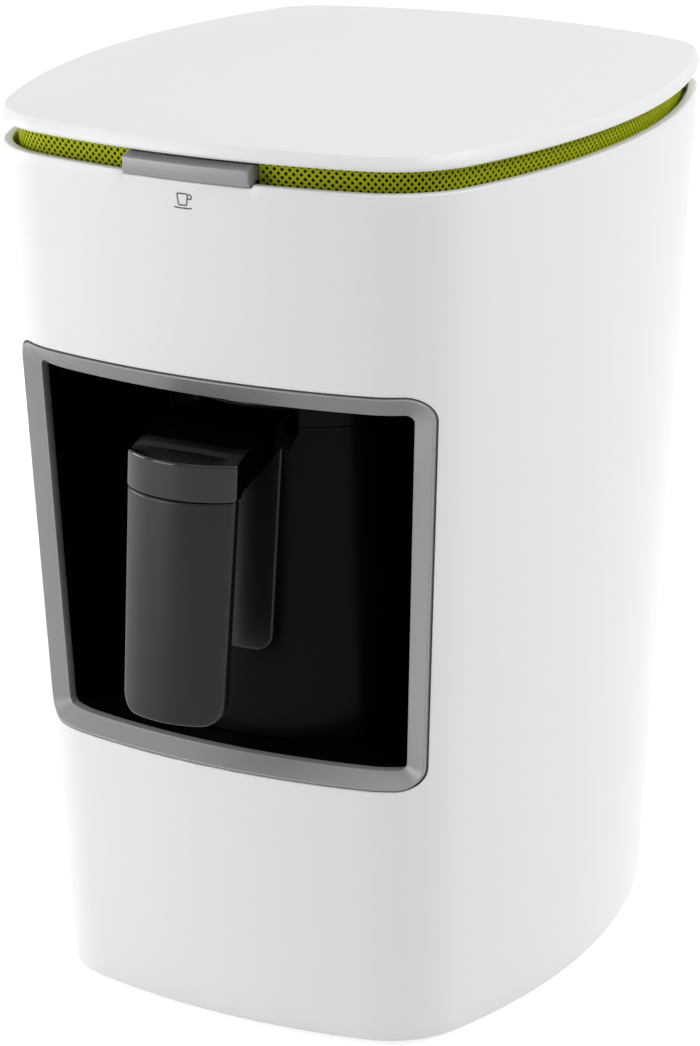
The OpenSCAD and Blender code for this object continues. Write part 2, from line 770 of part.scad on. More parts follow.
module smoothing_capacitor() {
    place() color("navy") translate([26, -14, power_top]) difference() {
        cylinder(r = 6, h = 20);
        for (a = [0, 90])
            rotate([0, 0, a]) translate([-3, -0.2, 19.6]) cube([6, 0.4, 1]);
    }
}

module choke() {
    place() color("saddlebrown") translate([6, -18, power_top]) {
        cylinder(r = 8, h = 2);
        translate([0, 0, 2]) cylinder(r = 5, h = 9);
        translate([0, 0, 11]) cylinder(r = 8, h = 2);
    }
}

module fuse() {
    place() color("beige") {
        translate([-28, 18, power_top + 4]) rotate([0, 90, 0]) cylinder(r = 2.6, h = 20);
        for (x = [-26, -12])
            box([x, 14.8, power_top], [x + 4, 21.2, power_top + 1.6]);
    }
}

module terminal_block() {
    place() color("whitesmoke") difference() {
        box([8, 22, power_top], [29, 33, power_top + 12]);
        for (i = [0 : 2])
            translate([11.5 + 7 * i, 27.5, power_top + 6]) cylinder(r = 2, h = 8);
        for (i = [0 : 2])
            translate([11.5 + 7 * i, 30, power_top + 4.5]) rotate([-90, 0, 0]) cylinder(r = 2, h = 8);
    }
}

// Leads inside the housing: board lead, sensor lead and the pot's three leads.
module internal_leads() {
    rear = niche_rear + 20;
    up = niche_ceiling + 14;
    tail = contact_tail_y;
    board_y = control_board_y[1] - 12;
    place() color("firebrick") {
        lead([[tray_hole_x, board_y, control_board_z], [tray_hole_x, board_y, control_board_z - 8],
              [tray_hole_x, board_y, tray_z - 8],
              [tray_hole_x, pot_y + 20, up], [tray_hole_x, rear, up - 16],
              [tray_hole_x, rear, power_top + 34], [tray_hole_x - 20, 38, power_top + 20],
              [tray_hole_x - 20, 38, power_top + 8], [tray_hole_x - 20, 38, power_top]], 1.5);
        lead([[0, pot_y, niche_ceiling + 16], [0, pot_y, niche_ceiling + 22],
              [0, pot_y - 4, niche_ceiling + 28], [0, pot_y - 14, tray_z - 10],
              [0, pot_y - 14, tray_z], [0, pot_y - 14, control_board_z]], 1);
        for (i = [-1 : 1])
            lead([[i * contact_pitch, tail, contact_z], [i * contact_pitch, tail + 5, contact_z],
                  [i * contact_pitch, tail + 9, contact_z - 10], [i * 7 - 14, 36, power_top + 26],
                  [i * 7 - 14, 36, power_top + 10], [i * 7 - 14, 36, power_top]], 1.1);
    }
}

// Block on the niche's rear wall that carries the blades for the pot.
module contact_block() {
    rear = niche_rear + 13;
    place() color("black") difference() {
        union() {
            box([-block_x, block_front, contact_z - block_h / 2], [block_x, rear, contact_z + block_h / 2]);
            box([-block_screw_x - 4, flange_y, contact_z - 5],
                [block_screw_x + 4, flange_y + flange_t, contact_z + 5]);
        }
        for (i = [-1 : 1])
            box([i * contact_pitch - blade_t / 2, block_front - over, contact_z - blade_h / 2],
                [i * contact_pitch + blade_t / 2, rear + over, contact_z + blade_h / 2]);
        for (s = [-1, 1])
            translate([s * block_screw_x, flange_y - over, contact_z]) rotate([-90, 0, 0])
                cylinder(r = 1.7, h = flange_t + 2 * over);
    }
}

module block_screws() {
    place() color("silver") for (s = [-1, 1])
        translate([s * block_screw_x, flange_y + flange_t, contact_z]) rotate([-90, 0, 0])
            screw(screw_r, 6, 2.8, 2);
}

socket_y = pot_y + pot_foot_r + 2.5;
blade_tip = socket_y - 10.5;
contact_tail_y = niche_rear + 18;

module contact_blades() {
    place() color("gold") for (i = [-1 : 1])
        box([i * contact_pitch - blade_t / 2, blade_tip, contact_z - blade_h / 2],
            [i * contact_pitch + blade_t / 2, contact_tail_y, contact_z + blade_h / 2]);
}

// Outside of the pot as a cone, moved outwards by out.
module jacket_cone(out, z0, z1) {
    translate([0, pot_y, z0])
        cylinder(r1 = jacket_r(z0) + out, r2 = jacket_r(z1) + out, h = z1 - z0, $fn = 96);
}

pot_screw_r = pot_foot_r - 10;
pot_boss_z = niche_floor + 2.8;
function turned(a, r) = [r * cos(a), r * sin(a)];

module pot_jacket() {
    place() color("#202020") difference() {
        union() {
            difference() {
                jacket_cone(0, jacket_z, collar_z);
                jacket_cone(-jacket_t, jacket_z - over, collar_z + over);
            }
            intersection() {
                for (a = [30, 150, 270])
                    translate([0, pot_y, pot_boss_z]) rotate([0, 0, a]) {
                        translate([pot_screw_r, 0, 0]) cylinder(r = 3, h = 8);
                        translate([pot_screw_r, -1, 0]) cube([12, 2, 8]);
                    }
                jacket_cone(-jacket_t / 2, jacket_z, collar_z);
            }
        }
        for (a = [30, 150, 270])
            translate([0, pot_y, pot_boss_z - over]) rotate([0, 0, a])
                translate([pot_screw_r, 0, 0]) cylinder(r = 1.15, h = 12);
        box([-socket_x - 0.2, pot_y, socket_z0 - 0.2], [socket_x + 0.2, socket_y + over, socket_z1 + 0.2]);
        for (z = plate_screw_z)
            translate([0, pot_y - pot_foot_r, z]) rotate([-90, 0, 0]) cylinder(r = 1.2, h = 12);
    }
}

// Flat outline of the rim with its two pouring lips.
module rim_plan(r, reach) {
    tip_r = 2;
    tip = reach - tip_r;
    a = acos((r - tip_r) / tip);
    circle(r = r, $fn = 96);
    for (s = [0, 180])
        rotate([0, 0, s]) {
            translate([tip, 0]) circle(r = tip_r, $fn = 32);
            polygon([turned(a, r), [0, 0], turned(-a, r),
                     [tip, 0] + turned(-a, tip_r), [tip, 0] + turned(a, tip_r)]);
        }
}

lip_reach = pot_top_r + 5;

// Deep-drawn steel vessel with a flat rim.
module pot_vessel() {
    top_r = pot_top_r - vessel_gap - 0.4;
    foot_r = pot_foot_r - jacket_t - vessel_gap - 2.2;
    place() color("dimgray") translate([0, pot_y, 0]) {
        rotate_extrude($fn = 96) polygon([
            [0, vessel_z], [foot_r - 3, vessel_z], [foot_r, vessel_z + 3], [top_r, pot_rim_z],
            [top_r, pot_rim_z + rim_h], [top_r - vessel_t, pot_rim_z + rim_h],
            [foot_r - vessel_t, vessel_z + 3], [foot_r - 3, vessel_z + vessel_t], [0, vessel_z + vessel_t]]);
        difference() {
            translate([0, 0, pot_rim_z]) linear_extrude(height = rim_h) rim_plan(pot_top_r, lip_reach);
            translate([0, 0, pot_rim_z - over]) cylinder(r = top_r - vessel_t / 2, h = 3 * over);
        }
    }
}

// Round front of the handle, leaning with the grip, from back wall to front bulge.
module handle_section(half, back, z0, z1) {
    translate([0, handle_y, cap_edge_z]) rotate([-handle_lean, 0, 0]) translate([0, 0, z0])
        linear_extrude(height = z1 - z0) intersection() {
            translate([0, handle_r - handle_bulge]) circle(r = handle_r, $fn = 128);
            translate([-half, -handle_bulge - over]) square([2 * half, handle_bulge + over + back]);
        }
}

under_y = handle_y + grip_edge_t;
arm_root_y = pot_y - pot_top_r + 4;
arm_half = handle_w / 2 - 0.4;
arm_root_half = handle_w / 2 - 2.2;
arm_neck_y = handle_y + 21.4;
arm_neck_z = collar_z - 3.9;

// Glossy collar, arm and cap in one moulding.
module handle_arm() {
    half = handle_w / 2;
    place() color("black") difference() {
        union() {
            translate([0, pot_y, collar_z]) linear_extrude(height = collar_h)
                rim_plan(pot_top_r, lip_reach - 0.6);
            intersection() {
                union() {
                    handle_section(half, grip_edge_t, -30, 30);
                    linear_extrude(height = body_h)
                        polygon([[-arm_half, under_y - 0.2], [arm_half, under_y - 0.2],
                                 [arm_half, arm_neck_y], [arm_root_half, arm_root_y],
                                 [-arm_root_half, arm_root_y], [-arm_half, arm_neck_y]]);
                }
                translate([-half - over, 0, 0]) rotate([90, 0, 90]) linear_extrude(height = 2 * (half + over))
                    polygon([[handle_y - 10, cap_joint_z], [under_y, cap_joint_z],
                             [under_y, cap_joint_z + 1.2], [arm_neck_y, arm_neck_z],
                             [arm_root_y, arm_neck_z - 0.4], [arm_root_y, pot_rim_z],
                             [handle_y + 20, pot_rim_z], [handle_y - 10, cap_edge_z - 2.5]]);
            }
        }
        translate([0, pot_y, collar_z - over])
            cylinder(r = pot_top_r - vessel_gap, h = collar_h + 2 * over, $fn = 96);
        jacket_cone(0.05, collar_z - 30, collar_z);
        for (x = [-grip_screw_x, grip_screw_x])
            grip_screw_hole(x, 1.2);
    }
}

grip_screw_x = 6;
grip_screw_y = (grip_edge_t - handle_bulge) / 2 + 0.4;

// Grip screw axis, along the leaning handle, z = 0 at the cap's joint.
module on_grip(x) {
    translate([0, handle_y, cap_edge_z]) rotate([-handle_lean, 0, 0])
        translate([x, grip_screw_y, cap_joint_z - cap_edge_z]) children();
}

module grip_screw_hole(x, r) {
    on_grip(x) translate([0, 0, -over]) cylinder(r = r, h = 6 + over);
}

// Matt grip hanging under the cap, with rounded lower corners.
module handle_grip() {
    half = handle_w / 2 - 0.2;
    low_half = half - 1.1;
    corner = 5;
    outline = concat([[-half, cap_joint_z - grip_gap], [-low_half, grip_bottom_z + corner]],
                     arc([-low_half + corner, grip_bottom_z + corner], corner, 180, 270, 6),
                     arc([low_half - corner, grip_bottom_z + corner], corner, 270, 360, 6),
                     [[low_half, grip_bottom_z + corner], [half, cap_joint_z - grip_gap]]);
    place() color("#303030") difference() {
        intersection() {
            handle_section(half, grip_edge_t, grip_bottom_z - cap_edge_z - 10, 0);
            prism(outline, handle_y - 30, handle_y + 30);
        }
        for (x = [-grip_screw_x, grip_screw_x]) {
            on_grip(x) translate([0, 0, -80]) cylinder(r = 1.5, h = 90);
            on_grip(x) translate([0, 0, -80]) cylinder(r = 2.4, h = 80 - grip_screw_depth);
        }
    }
}

grip_screw_depth = 12;

module grip_screws() {
    place() color("silver") for (x = [-grip_screw_x, grip_screw_x])
        on_grip(x) translate([0, 0, -grip_screw_depth]) mirror([0, 0, 1])
            screw(1.15, grip_screw_depth + 5, 2.2, 2);
}

plate_half = handle_w / 2 - 4.1;
plate_low_half = plate_half - 1.5;
plate_t = 1.5;
plate_bottom = niche_floor + 23.2;
plate_top = arm_neck_z - 0.5;
plate_screw_z = [plate_bottom + 8, plate_top - 8];

// Matt plate on the pot's wall behind the grip.
module wall_plate() {
    corner = 4;
    outline = concat([[-plate_half, plate_top]],
                     arc([-plate_low_half + corner, plate_bottom + corner], corner, 180, 270, 6),
                     arc([plate_low_half - corner, plate_bottom + corner], corner, 270, 360, 6),
                     [[plate_low_half, plate_bottom + corner], [plate_half, plate_top]]);
    place() color("#303030") difference() {
        intersection() {
            prism(outline, handle_y, pot_y);
            jacket_cone(plate_t, plate_bottom - 2, plate_top + 2);
        }
        jacket_cone(0.12, plate_bottom - 4, plate_top + 4);
        for (z = plate_screw_z)
            translate([0, pot_y - jacket_r(z) - 0.9, z]) rotate([-90, 0, 0]) cylinder(r = 1.2, h = 4);
    }
}

module plate_screws() {
    place() color("silver") for (z = plate_screw_z)
        translate([0, pot_y - jacket_r(z + 2.4) + jacket_t + 0.08, z]) rotate([-90, 0, 0])
            screw(1.15, 2.8, 2.2, 1.2);
}

module pot_base_cover() {
    place() color("#202020") translate([0, pot_y, 0]) difference() {
        union() {
            translate([0, 0, niche_floor + 0.6]) cylinder(r = pot_foot_r - jacket_t - fit, h = 2.2, $fn = 96);
            translate([0, 0, niche_floor]) cylinder(r = pot_foot_r - jacket_t - 1.2, h = 0.6, $fn = 96);
        }
        translate([0, 0, niche_floor - over])
            cylinder(r = pot_foot_r - jacket_t - 4.2, h = 0.6 + over, $fn = 96);
        for (a = [30, 150, 270])
            translate([0, 0, niche_floor]) rotate([0, 0, a]) translate([pot_screw_r, 0, 0]) {
                cylinder(r = 1.4, h = 5);
                cylinder(r = 2.4, h = 1.9);
            }
    }
}

module pot_base_screws() {
    place() color("silver") for (a = [30, 150, 270])
        translate([0, pot_y, niche_floor + 1.9]) rotate([0, 0, a])
            translate([pot_screw_r, 0, 0]) mirror([0, 0, 1]) screw(1.1, 7, 2.2, 1.2);
}

heater_plate_t = 3;

module heater_plate() {
    place() color("lightgray") translate([0, pot_y, vessel_z - heater_plate_t])
        cylinder(r = pot_foot_r - 9.5, h = heater_plate_t);
}

// Ring element under the heater plate, with its two cold ends.
module heating_element() {
    ring_r = pot_foot_r - 17;
    tube_r = 2.4;
    z = vessel_z - heater_plate_t - tube_r;
    place() color("brown") translate([0, pot_y, z]) {
        rotate_extrude() translate([ring_r, 0]) circle(r = tube_r, $fn = 32);
        for (x = [-6, 6])
            translate([x, -sqrt(ring_r * ring_r - 36), -6.5]) cylinder(r = 1.4, h = 6.5);
    }
}

module temperature_sensor() {
    place() color("white") translate([0, pot_y, vessel_z - heater_plate_t - 5])
        cylinder(r = 4, h = 5);
}

socket_x = 14;
socket_z0 = niche_floor + 2.8;
socket_z1 = contact_z + 5;
socket_depth = 16;

// Socket at the back of the pot's foot.
module socket_housing() {
    slot_half = blade_t / 2 + 0.4;
    clip_half = blade_t / 2 + 1;
    high = blade_h / 2 + 0.5;
    place() color("black") difference() {
        box([-socket_x, socket_y - socket_depth, socket_z0], [socket_x, socket_y, socket_z1]);
        for (i = [-1 : 1]) {
            box([i * contact_pitch - slot_half, socket_y - 4, contact_z - high],
                [i * contact_pitch + slot_half, socket_y + over, contact_z + high]);
            box([i * contact_pitch - clip_half, socket_y - socket_depth - over, contact_z - high],
                [i * contact_pitch + clip_half, socket_y - 3, contact_z + high]);
        }
    }
}

// Spring clips that take the blades.
module socket_clips() {
    gap = 0.05;
    leaf = 0.45;
    half = blade_t / 2 + gap;
    back = socket_y - socket_depth;
    place() color("gold") for (i = [-1 : 1])
        translate([i * contact_pitch, 0, contact_z]) {
            for (s = [-1, 1])
                box([s > 0 ? half : -half - leaf, back + 1, -blade_h / 2],
                    [s > 0 ? half + leaf : -half, socket_y - 3.4, blade_h / 2]);
            box([-half - leaf, back - 3, -blade_h / 2], [half + leaf, back + 1.5, blade_h / 2]);
            for (s = [-1, 1])
                box([s > 0 ? half + leaf - 0.1 : -blade_t / 2 - 1, back + 2, -2],
                    [s > 0 ? blade_t / 2 + 1 : -half - leaf + 0.1, back + 4, 2]);
        }
}

outer_shell();
top_cover();
vent_band();
cover_carrier();
carrier_screws();
base_plate();
rubber_feet();
base_screws();
window_frame();
niche_liner();
liner_screws();
cord_gland();
start_button();
button_springs();
push_switch();
switch_plunger();
control_board();
control_board_screws();
status_light();
light_guide();
buzzer();
sensor_housing();
sensor_lens();
sensor_board();
power_board();
power_board_screws();
relay();
smoothing_capacitor();
choke();
fuse();
terminal_block();
internal_leads();
contact_block();
block_screws();
contact_blades();
pot_jacket();
pot_vessel();
handle_arm();
handle_grip();
grip_screws();
wall_plate();
plate_screws();
pot_base_cover();
pot_base_screws();
heater_plate();
heating_element();
temperature_sensor();
socket_housing();
socket_clips();
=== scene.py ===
"""Visible surfaces, finishes and studio of an electric Turkish coffee maker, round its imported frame."""

import math

import bmesh
import bpy
from bpy.props import FloatProperty, FloatVectorProperty, PointerProperty
from mathutils import Matrix, Vector


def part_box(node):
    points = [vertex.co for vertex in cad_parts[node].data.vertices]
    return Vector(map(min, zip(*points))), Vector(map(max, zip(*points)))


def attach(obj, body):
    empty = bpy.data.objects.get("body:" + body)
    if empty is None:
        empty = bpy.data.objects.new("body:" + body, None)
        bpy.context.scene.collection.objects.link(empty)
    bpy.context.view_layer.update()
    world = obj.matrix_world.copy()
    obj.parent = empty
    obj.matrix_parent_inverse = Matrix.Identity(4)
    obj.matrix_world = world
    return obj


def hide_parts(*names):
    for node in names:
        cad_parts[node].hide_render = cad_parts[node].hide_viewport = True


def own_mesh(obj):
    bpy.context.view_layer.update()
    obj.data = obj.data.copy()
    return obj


bl_info = {
    "name": "Turkish Coffee Maker",
    "version": (1, 0, 0),
    "blender": (4, 5, 0),
    "location": "3D View > Sidebar > Coffee Maker",
    "description": "Surfaces, finishes and studio of an electric coffee maker with a draw-out pot",
    "category": "Add Mesh",
}

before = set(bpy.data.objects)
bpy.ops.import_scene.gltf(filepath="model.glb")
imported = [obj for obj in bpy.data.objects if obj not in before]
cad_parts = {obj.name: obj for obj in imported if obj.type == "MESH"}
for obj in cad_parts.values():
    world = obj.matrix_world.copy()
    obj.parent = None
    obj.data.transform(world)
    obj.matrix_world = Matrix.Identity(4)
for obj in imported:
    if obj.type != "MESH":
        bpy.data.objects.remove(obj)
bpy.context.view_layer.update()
MM = 0.001
TURN = 2 * math.pi

# Plan of the housing at full size, in millimetres.
WIDTH, DEPTH = 154.0, 176.0
FRONT_R, SIDE_R, REAR_R = 206.0, 184.0, 160.0
FRONT_CORNER_R, REAR_CORNER_R = 28.0, 20.0

# Sizes and places of the frame's parts, in millimetres; TAPER is a share and HANDLE_LEAN an angle.
TOP_Z, FOOT_Z, TAPER = 232.0, 2.0, 0.125
RIM_Z, COVER_Z, WALL = 223.2, 228.4, 2.5
BAND_OFF, BAND_T, BAND_LOW, BAND_HIGH = 3.9, 0.8, 220.2, 229.3
GLAND_Z, GLAND_R = 24.0, 5.5
BUTTON_HALF, BUTTON_LOW, BUTTON_HIGH, NOTCH = 17.1, 222.75, 227.6, 0.75
STEM_X, BUTTON_Z, GUIDE_Y = 11.0, 225.5, -DEPTH / 2 + 11.4
SPRING_LENGTH, BUTTON_TRAVEL = 6.0, 1.5
POT_Y, POT_FOOT_R, POT_TOP_R = -25.0, 42.2, 37.2
JACKET_Z, COLLAR_Z, POT_RIM_Z = 76.6, 156.5, 161.0
HANDLE_Y, HANDLE_HALF, HANDLE_BULGE, HANDLE_LEAN = -91.4, 15.2, 5.4, math.radians(5.4)
CAP_EDGE_Z, CAP_JOINT_Z = 156.0, 147.0


def share_at(z):
    """Share of the full plan size at height z."""
    return 1 - TAPER * (TOP_Z - z) / (TOP_Z - FOOT_Z)


# How far the frame stands behind the housing's own centre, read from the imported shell.
CENTRE_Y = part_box("outer_shell")[0].y / MM + DEPTH / 2 * share_at(RIM_Z)


def spread(low, high, count):
    """Equal steps from low towards high, without high."""
    return [low + (high - low) * i / count for i in range(count)]


def quarter(count):
    """Pairs of 1 - cos and 1 - sin over a quarter turn."""
    return [(1 - math.cos(a), 1 - math.sin(a)) for a in (math.pi / 2 * i / count for i in range(count + 1))]


def smooth_step(low, high, value):
    """0 up to low, 1 from high on, and a soft slope between them."""
    t = min(1.0, max(0.0, (value - low) / (high - low)))
    return t * t * (3 - 2 * t)


def meet(p, rp, q, rq):
    """Outer centre of a circle that touches two others from the inside."""
    d = math.dist(p, q)
    along = (rp * rp - rq * rq + d * d) / (2 * d)
    ux, uy = (q[0] - p[0]) / d, (q[1] - p[1]) / d
    across = math.sqrt(rp * rp - along * along)
    return p[0] + along * ux + across * uy, p[1] + along * uy - across * ux


class Plan:
    """Outline of the housing seen from above, walked by length from the front's middle."""

    def __init__(self):
        front = (0.0, FRONT_R - DEPTH / 2)
        side = (WIDTH / 2 - SIDE_R, 0.0)
        rear = (0.0, DEPTH / 2 - REAR_R)
        a = meet(side, SIDE_R - FRONT_CORNER_R, front, FRONT_R - FRONT_CORNER_R)
        b = meet(rear, REAR_R - REAR_CORNER_R, side, SIDE_R - REAR_CORNER_R)
        turn = [-math.pi / 2, math.atan2(a[1] - front[1], a[0]), math.atan2(a[1], a[0] - side[0]),
                math.atan2(b[1], b[0] - side[0]), math.atan2(b[1] - rear[1], b[0]), math.pi / 2]
        radii = [FRONT_R, FRONT_CORNER_R, SIDE_R, REAR_CORNER_R, REAR_R]
        self.arcs = list(zip([front, a, side, b, rear], radii, turn, turn[1:]))
        self.half = sum(r * (a1 - a0) for _, r, a0, a1 in self.arcs)
        self.length = 2 * self.half

    def at(self, s, off=0.0):
        """Point off inside the outline at length s."""
        s = (s + self.half) % self.length - self.half
        side, rest = (-1, -s) if s < 0 else (1, s)
        for (cx, cy), r, a0, a1 in self.arcs:
            if rest <= r * (a1 - a0) + 1e-9:
                break
            rest -= r * (a1 - a0)
        a = a0 + rest / r
        return side * (cx + (r - off) * math.cos(a)), cy + (r - off) * math.sin(a)

    def wall(self, s, z, off=0.0):
        """Point of the tapered housing off inside its surface."""
        x, y = self.at(s, off)
        return x * share_at(z), y * share_at(z), z

    def length_at(self, x, z, off=0.0):
        """Length from the front's middle to the front point at x."""
        u = abs(x) / share_at(z)
        _, r, _, turn = self.arcs[0]
        if u <= (r - off) * math.cos(turn):
            s = r * math.asin(u / (r - off))
        else:
            (cx, _), rc, a0, _ = self.arcs[1]
            s = r * (turn + math.pi / 2) + rc * (-math.acos((u - cx) / (rc - off)) - a0)
        return math.copysign(s, x)

    def front(self, x, z, off=0.0):
        """Point of the housing's front at x and z, off inside its surface."""
        return x, self.wall(self.length_at(x, z, off), z, off)[1], z


PLAN = Plan()


class Mesher:
    """Collects the points and the faces of one mesh."""

    def __init__(self):
        self.points, self.faces = [], []

    def ring(self, points):
        """Adds points and gives their numbers."""
        start = len(self.points)
        self.points.extend(points)
        return list(range(start, len(self.points)))

    def bridge(self, a, b, closed=True):
        """Quads between two rows of points."""
        for i in range(len(a) if closed else len(a) - 1):
            j = (i + 1) % len(a)
            self.faces.append((a[i], a[j], b[j], b[i]))

    def bridges(self, rings, closed=True, looped=False):
        """Quads from each row to the next, and from the last to the first if looped."""
        for a, b in zip(rings, rings[1:]):
            self.bridge(a, b, closed)
        if looped:
            self.bridge(rings[-1], rings[0], closed)

    def fan(self, ring, centre):
        """Triangles from a ring to a point in its middle."""
        tip = self.ring([centre])[0]
        for i, a in enumerate(ring):
            self.faces.append((a, ring[(i + 1) % len(ring)], tip))

    def grid(self, loop, across, up, place):
        """Fills a loop of 2 * (across + up) points, from its lower left corner, with quads."""
        top = 2 * across + up
        low, right = loop[:across + 1], loop[across:across + up + 1]
        high, left = loop[across + up:top + 1][::-1], (loop[top:] + loop[:1])[::-1]
        p = self.points
        rows = [low]
        for j in range(1, up):
            v = j / up
            row = [left[j]]
            for i in range(1, across):
                u = i / across
                xz = [(1 - v) * p[low[i]][t] + v * p[high[i]][t]
                      + (1 - u) * p[left[j]][t] + u * p[right[j]][t]
                      - ((1 - u) * (1 - v) * p[low[0]][t] + u * (1 - v) * p[low[-1]][t]
                         + u * v * p[high[-1]][t] + (1 - u) * v * p[high[0]][t]) for t in (0, 2)]
                row.append(self.ring([place(*xz)])[0])
            rows.append(row + [right[j]])
        self.bridges(rows + [high], closed=False)

    def tube(self, base, tip, radius, bore=0.0, sides=24):
        """Round bar or tube between two points."""
        axis = Vector(tip) - Vector(base)
        u = axis.orthogonal().normalized()
        v = axis.normalized().cross(u)

        def circle(centre, r):
            return self.ring([tuple(Vector(centre) + r * (u * math.cos(a) + v * math.sin(a)))
                              for a in spread(0, TURN, sides)])

        rings = [circle(base, radius), circle(tip, radius)]
        if bore:
            rings += [circle(tip, bore), circle(base, bore)]
            self.bridges(rings, looped=True)
        else:
            self.bridges(rings)
            self.fan(rings[0], base)
            self.fan(rings[1], tip)


def make_piece(name, mesher, body, material, replaces, crease):
    """Smooth piece on its body, from points in millimetres; edges past the crease angle stay sharp."""
    mesh = bpy.data.meshes.new(name)
    mesh.from_pydata([(x * MM, (y + CENTRE_Y) * MM, z * MM) for x, y, z in mesher.points], [], mesher.faces)
    bm = bmesh.new()
    bm.from_mesh(mesh)
    bmesh.ops.delete(bm, geom=[v for v in bm.verts if not v.link_faces], context="VERTS")
    bmesh.ops.recalc_face_normals(bm, faces=bm.faces)
    bm.to_mesh(mesh)
    bm.free()
    mesh.polygons.foreach_set("use_smooth", [True] * len(mesh.polygons))
    mesh.set_sharp_from_angle(angle=math.radians(crease))
    mesh.materials.append(material)
    piece = bpy.data.objects.new(name, mesh)
    bpy.context.scene.collection.objects.link(piece)
    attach(piece, body)
    if replaces:
        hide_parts(replaces)
    return piece


# Window outline

# Half width below and above, lowest and highest point, lower and upper corner radius.
WINDOW_OUT = (53.8, 58.06, 72.0, 173.8, 6.0, 6.0)
WINDOW_IN = (48.7, 52.26, 76.1, 168.5, 2.0, 2.0)


def grown(w, g):
    """Outline values of a rounded trapezoid that is g larger all round."""
    return w[0] + g, w[1] + g, w[2] - g, w[3] + g, w[4] + g, w[5] + g


def trapezoid(w, across, up, corner):
    """Rounded outline with 2 * (across + up) points of x and z, from the middle of its lower left corner."""
    half_low, half_high, z0, z1, r_low, r_high = w
    slope = (half_high - half_low) / (z1 - z0)
    lean, stretch = math.atan(slope), math.sqrt(1 + slope * slope)
    low_x = half_low + r_low * slope - r_low * stretch
    high_x = half_low + (z1 - r_high - z0) * slope - r_high * stretch
    centres = [(-low_x, z0 + r_low, r_low, math.pi + lean, 1.5 * math.pi),
               (low_x, z0 + r_low, r_low, 1.5 * math.pi, TURN - lean),
               (high_x, z1 - r_high, r_high, -lean, math.pi / 2),
               (-high_x, z1 - r_high, r_high, math.pi / 2, math.pi + lean)]

    def on(c, t):
        x, z, r, a0, a1 = c
        a = a0 + (a1 - a0) * t
        return x + r * math.cos(a), z + r * math.sin(a)

    points = []
    for side, here in enumerate(centres):
        there = centres[(side + 1) % 4]
        steps = (across if side % 2 == 0 else up) - 2 * corner
        points += [on(here, 0.5 + 0.5 * t) for t in spread(0, 1, corner)]
        (ax, az), (bx, bz) = on(here, 1), on(there, 0)
        points += [(ax + (bx - ax) * t, az + (bz - az) * t) for t in spread(0, 1, steps)]
        points += [on(there, 0.5 * t) for t in spread(0, 1, corner)]
    return points


# Housing

# Lengths along the plan that the window's and the lead inlet's part of the wall take to each side.
WINDOW_S, BACK_S = 76.0, 14.0

# Screw posts: lowest and highest point, height the plan is taken at, places along Y, distance inside it.
POSTS = ((8.1, 26.1, 8.1, (-22, 26), 9.5), (190.0, 212.0, 212.0, (-40, 44), 14.0))
POST_R, POST_BORE_R = 4.0, 1.5


def border(low, high, left, right):
    """Row and column of each grid point round a rectangle, from its lower left corner."""
    return ([(low, c) for c in range(left, right)] + [(r, right) for r in range(low, high)]
            + [(high, c) for c in range(right, left, -1)] + [(r, left) for r in range(high, low, -1)])


def shell_layer(m, cols, levels, off, openings):
    """One face of the housing's wall; an opening is a rectangle of the grid, its hole and its ring count."""
    rows = [m.ring([PLAN.wall(s, z, off) for s in cols]) for z in levels]
    for r in range(len(rows) - 1):
        for c in range(len(cols)):
            if not any(low <= r < high and left <= c < right for (low, high, left, right), _, _ in openings):
                d = (c + 1) % len(cols)
                m.faces.append((rows[r][c], rows[r][d], rows[r + 1][d], rows[r + 1][c]))
    holes = []
    for box, hole, count in openings:
        cells = border(*box)
        rings = [[rows[r][c] for r, c in cells]]
        for j in range(count - 1, -1, -1):
            t = (j / count) ** 1.25
            rings.append(m.ring([PLAN.wall(s + (cols[c] - s) * t, z + (levels[r] - z) * t, off)
                                 for (s, z), (r, c) in zip(hole, cells)]))
        m.bridges(rings)
        holes.append(rings[-1])
    return rows, *holes


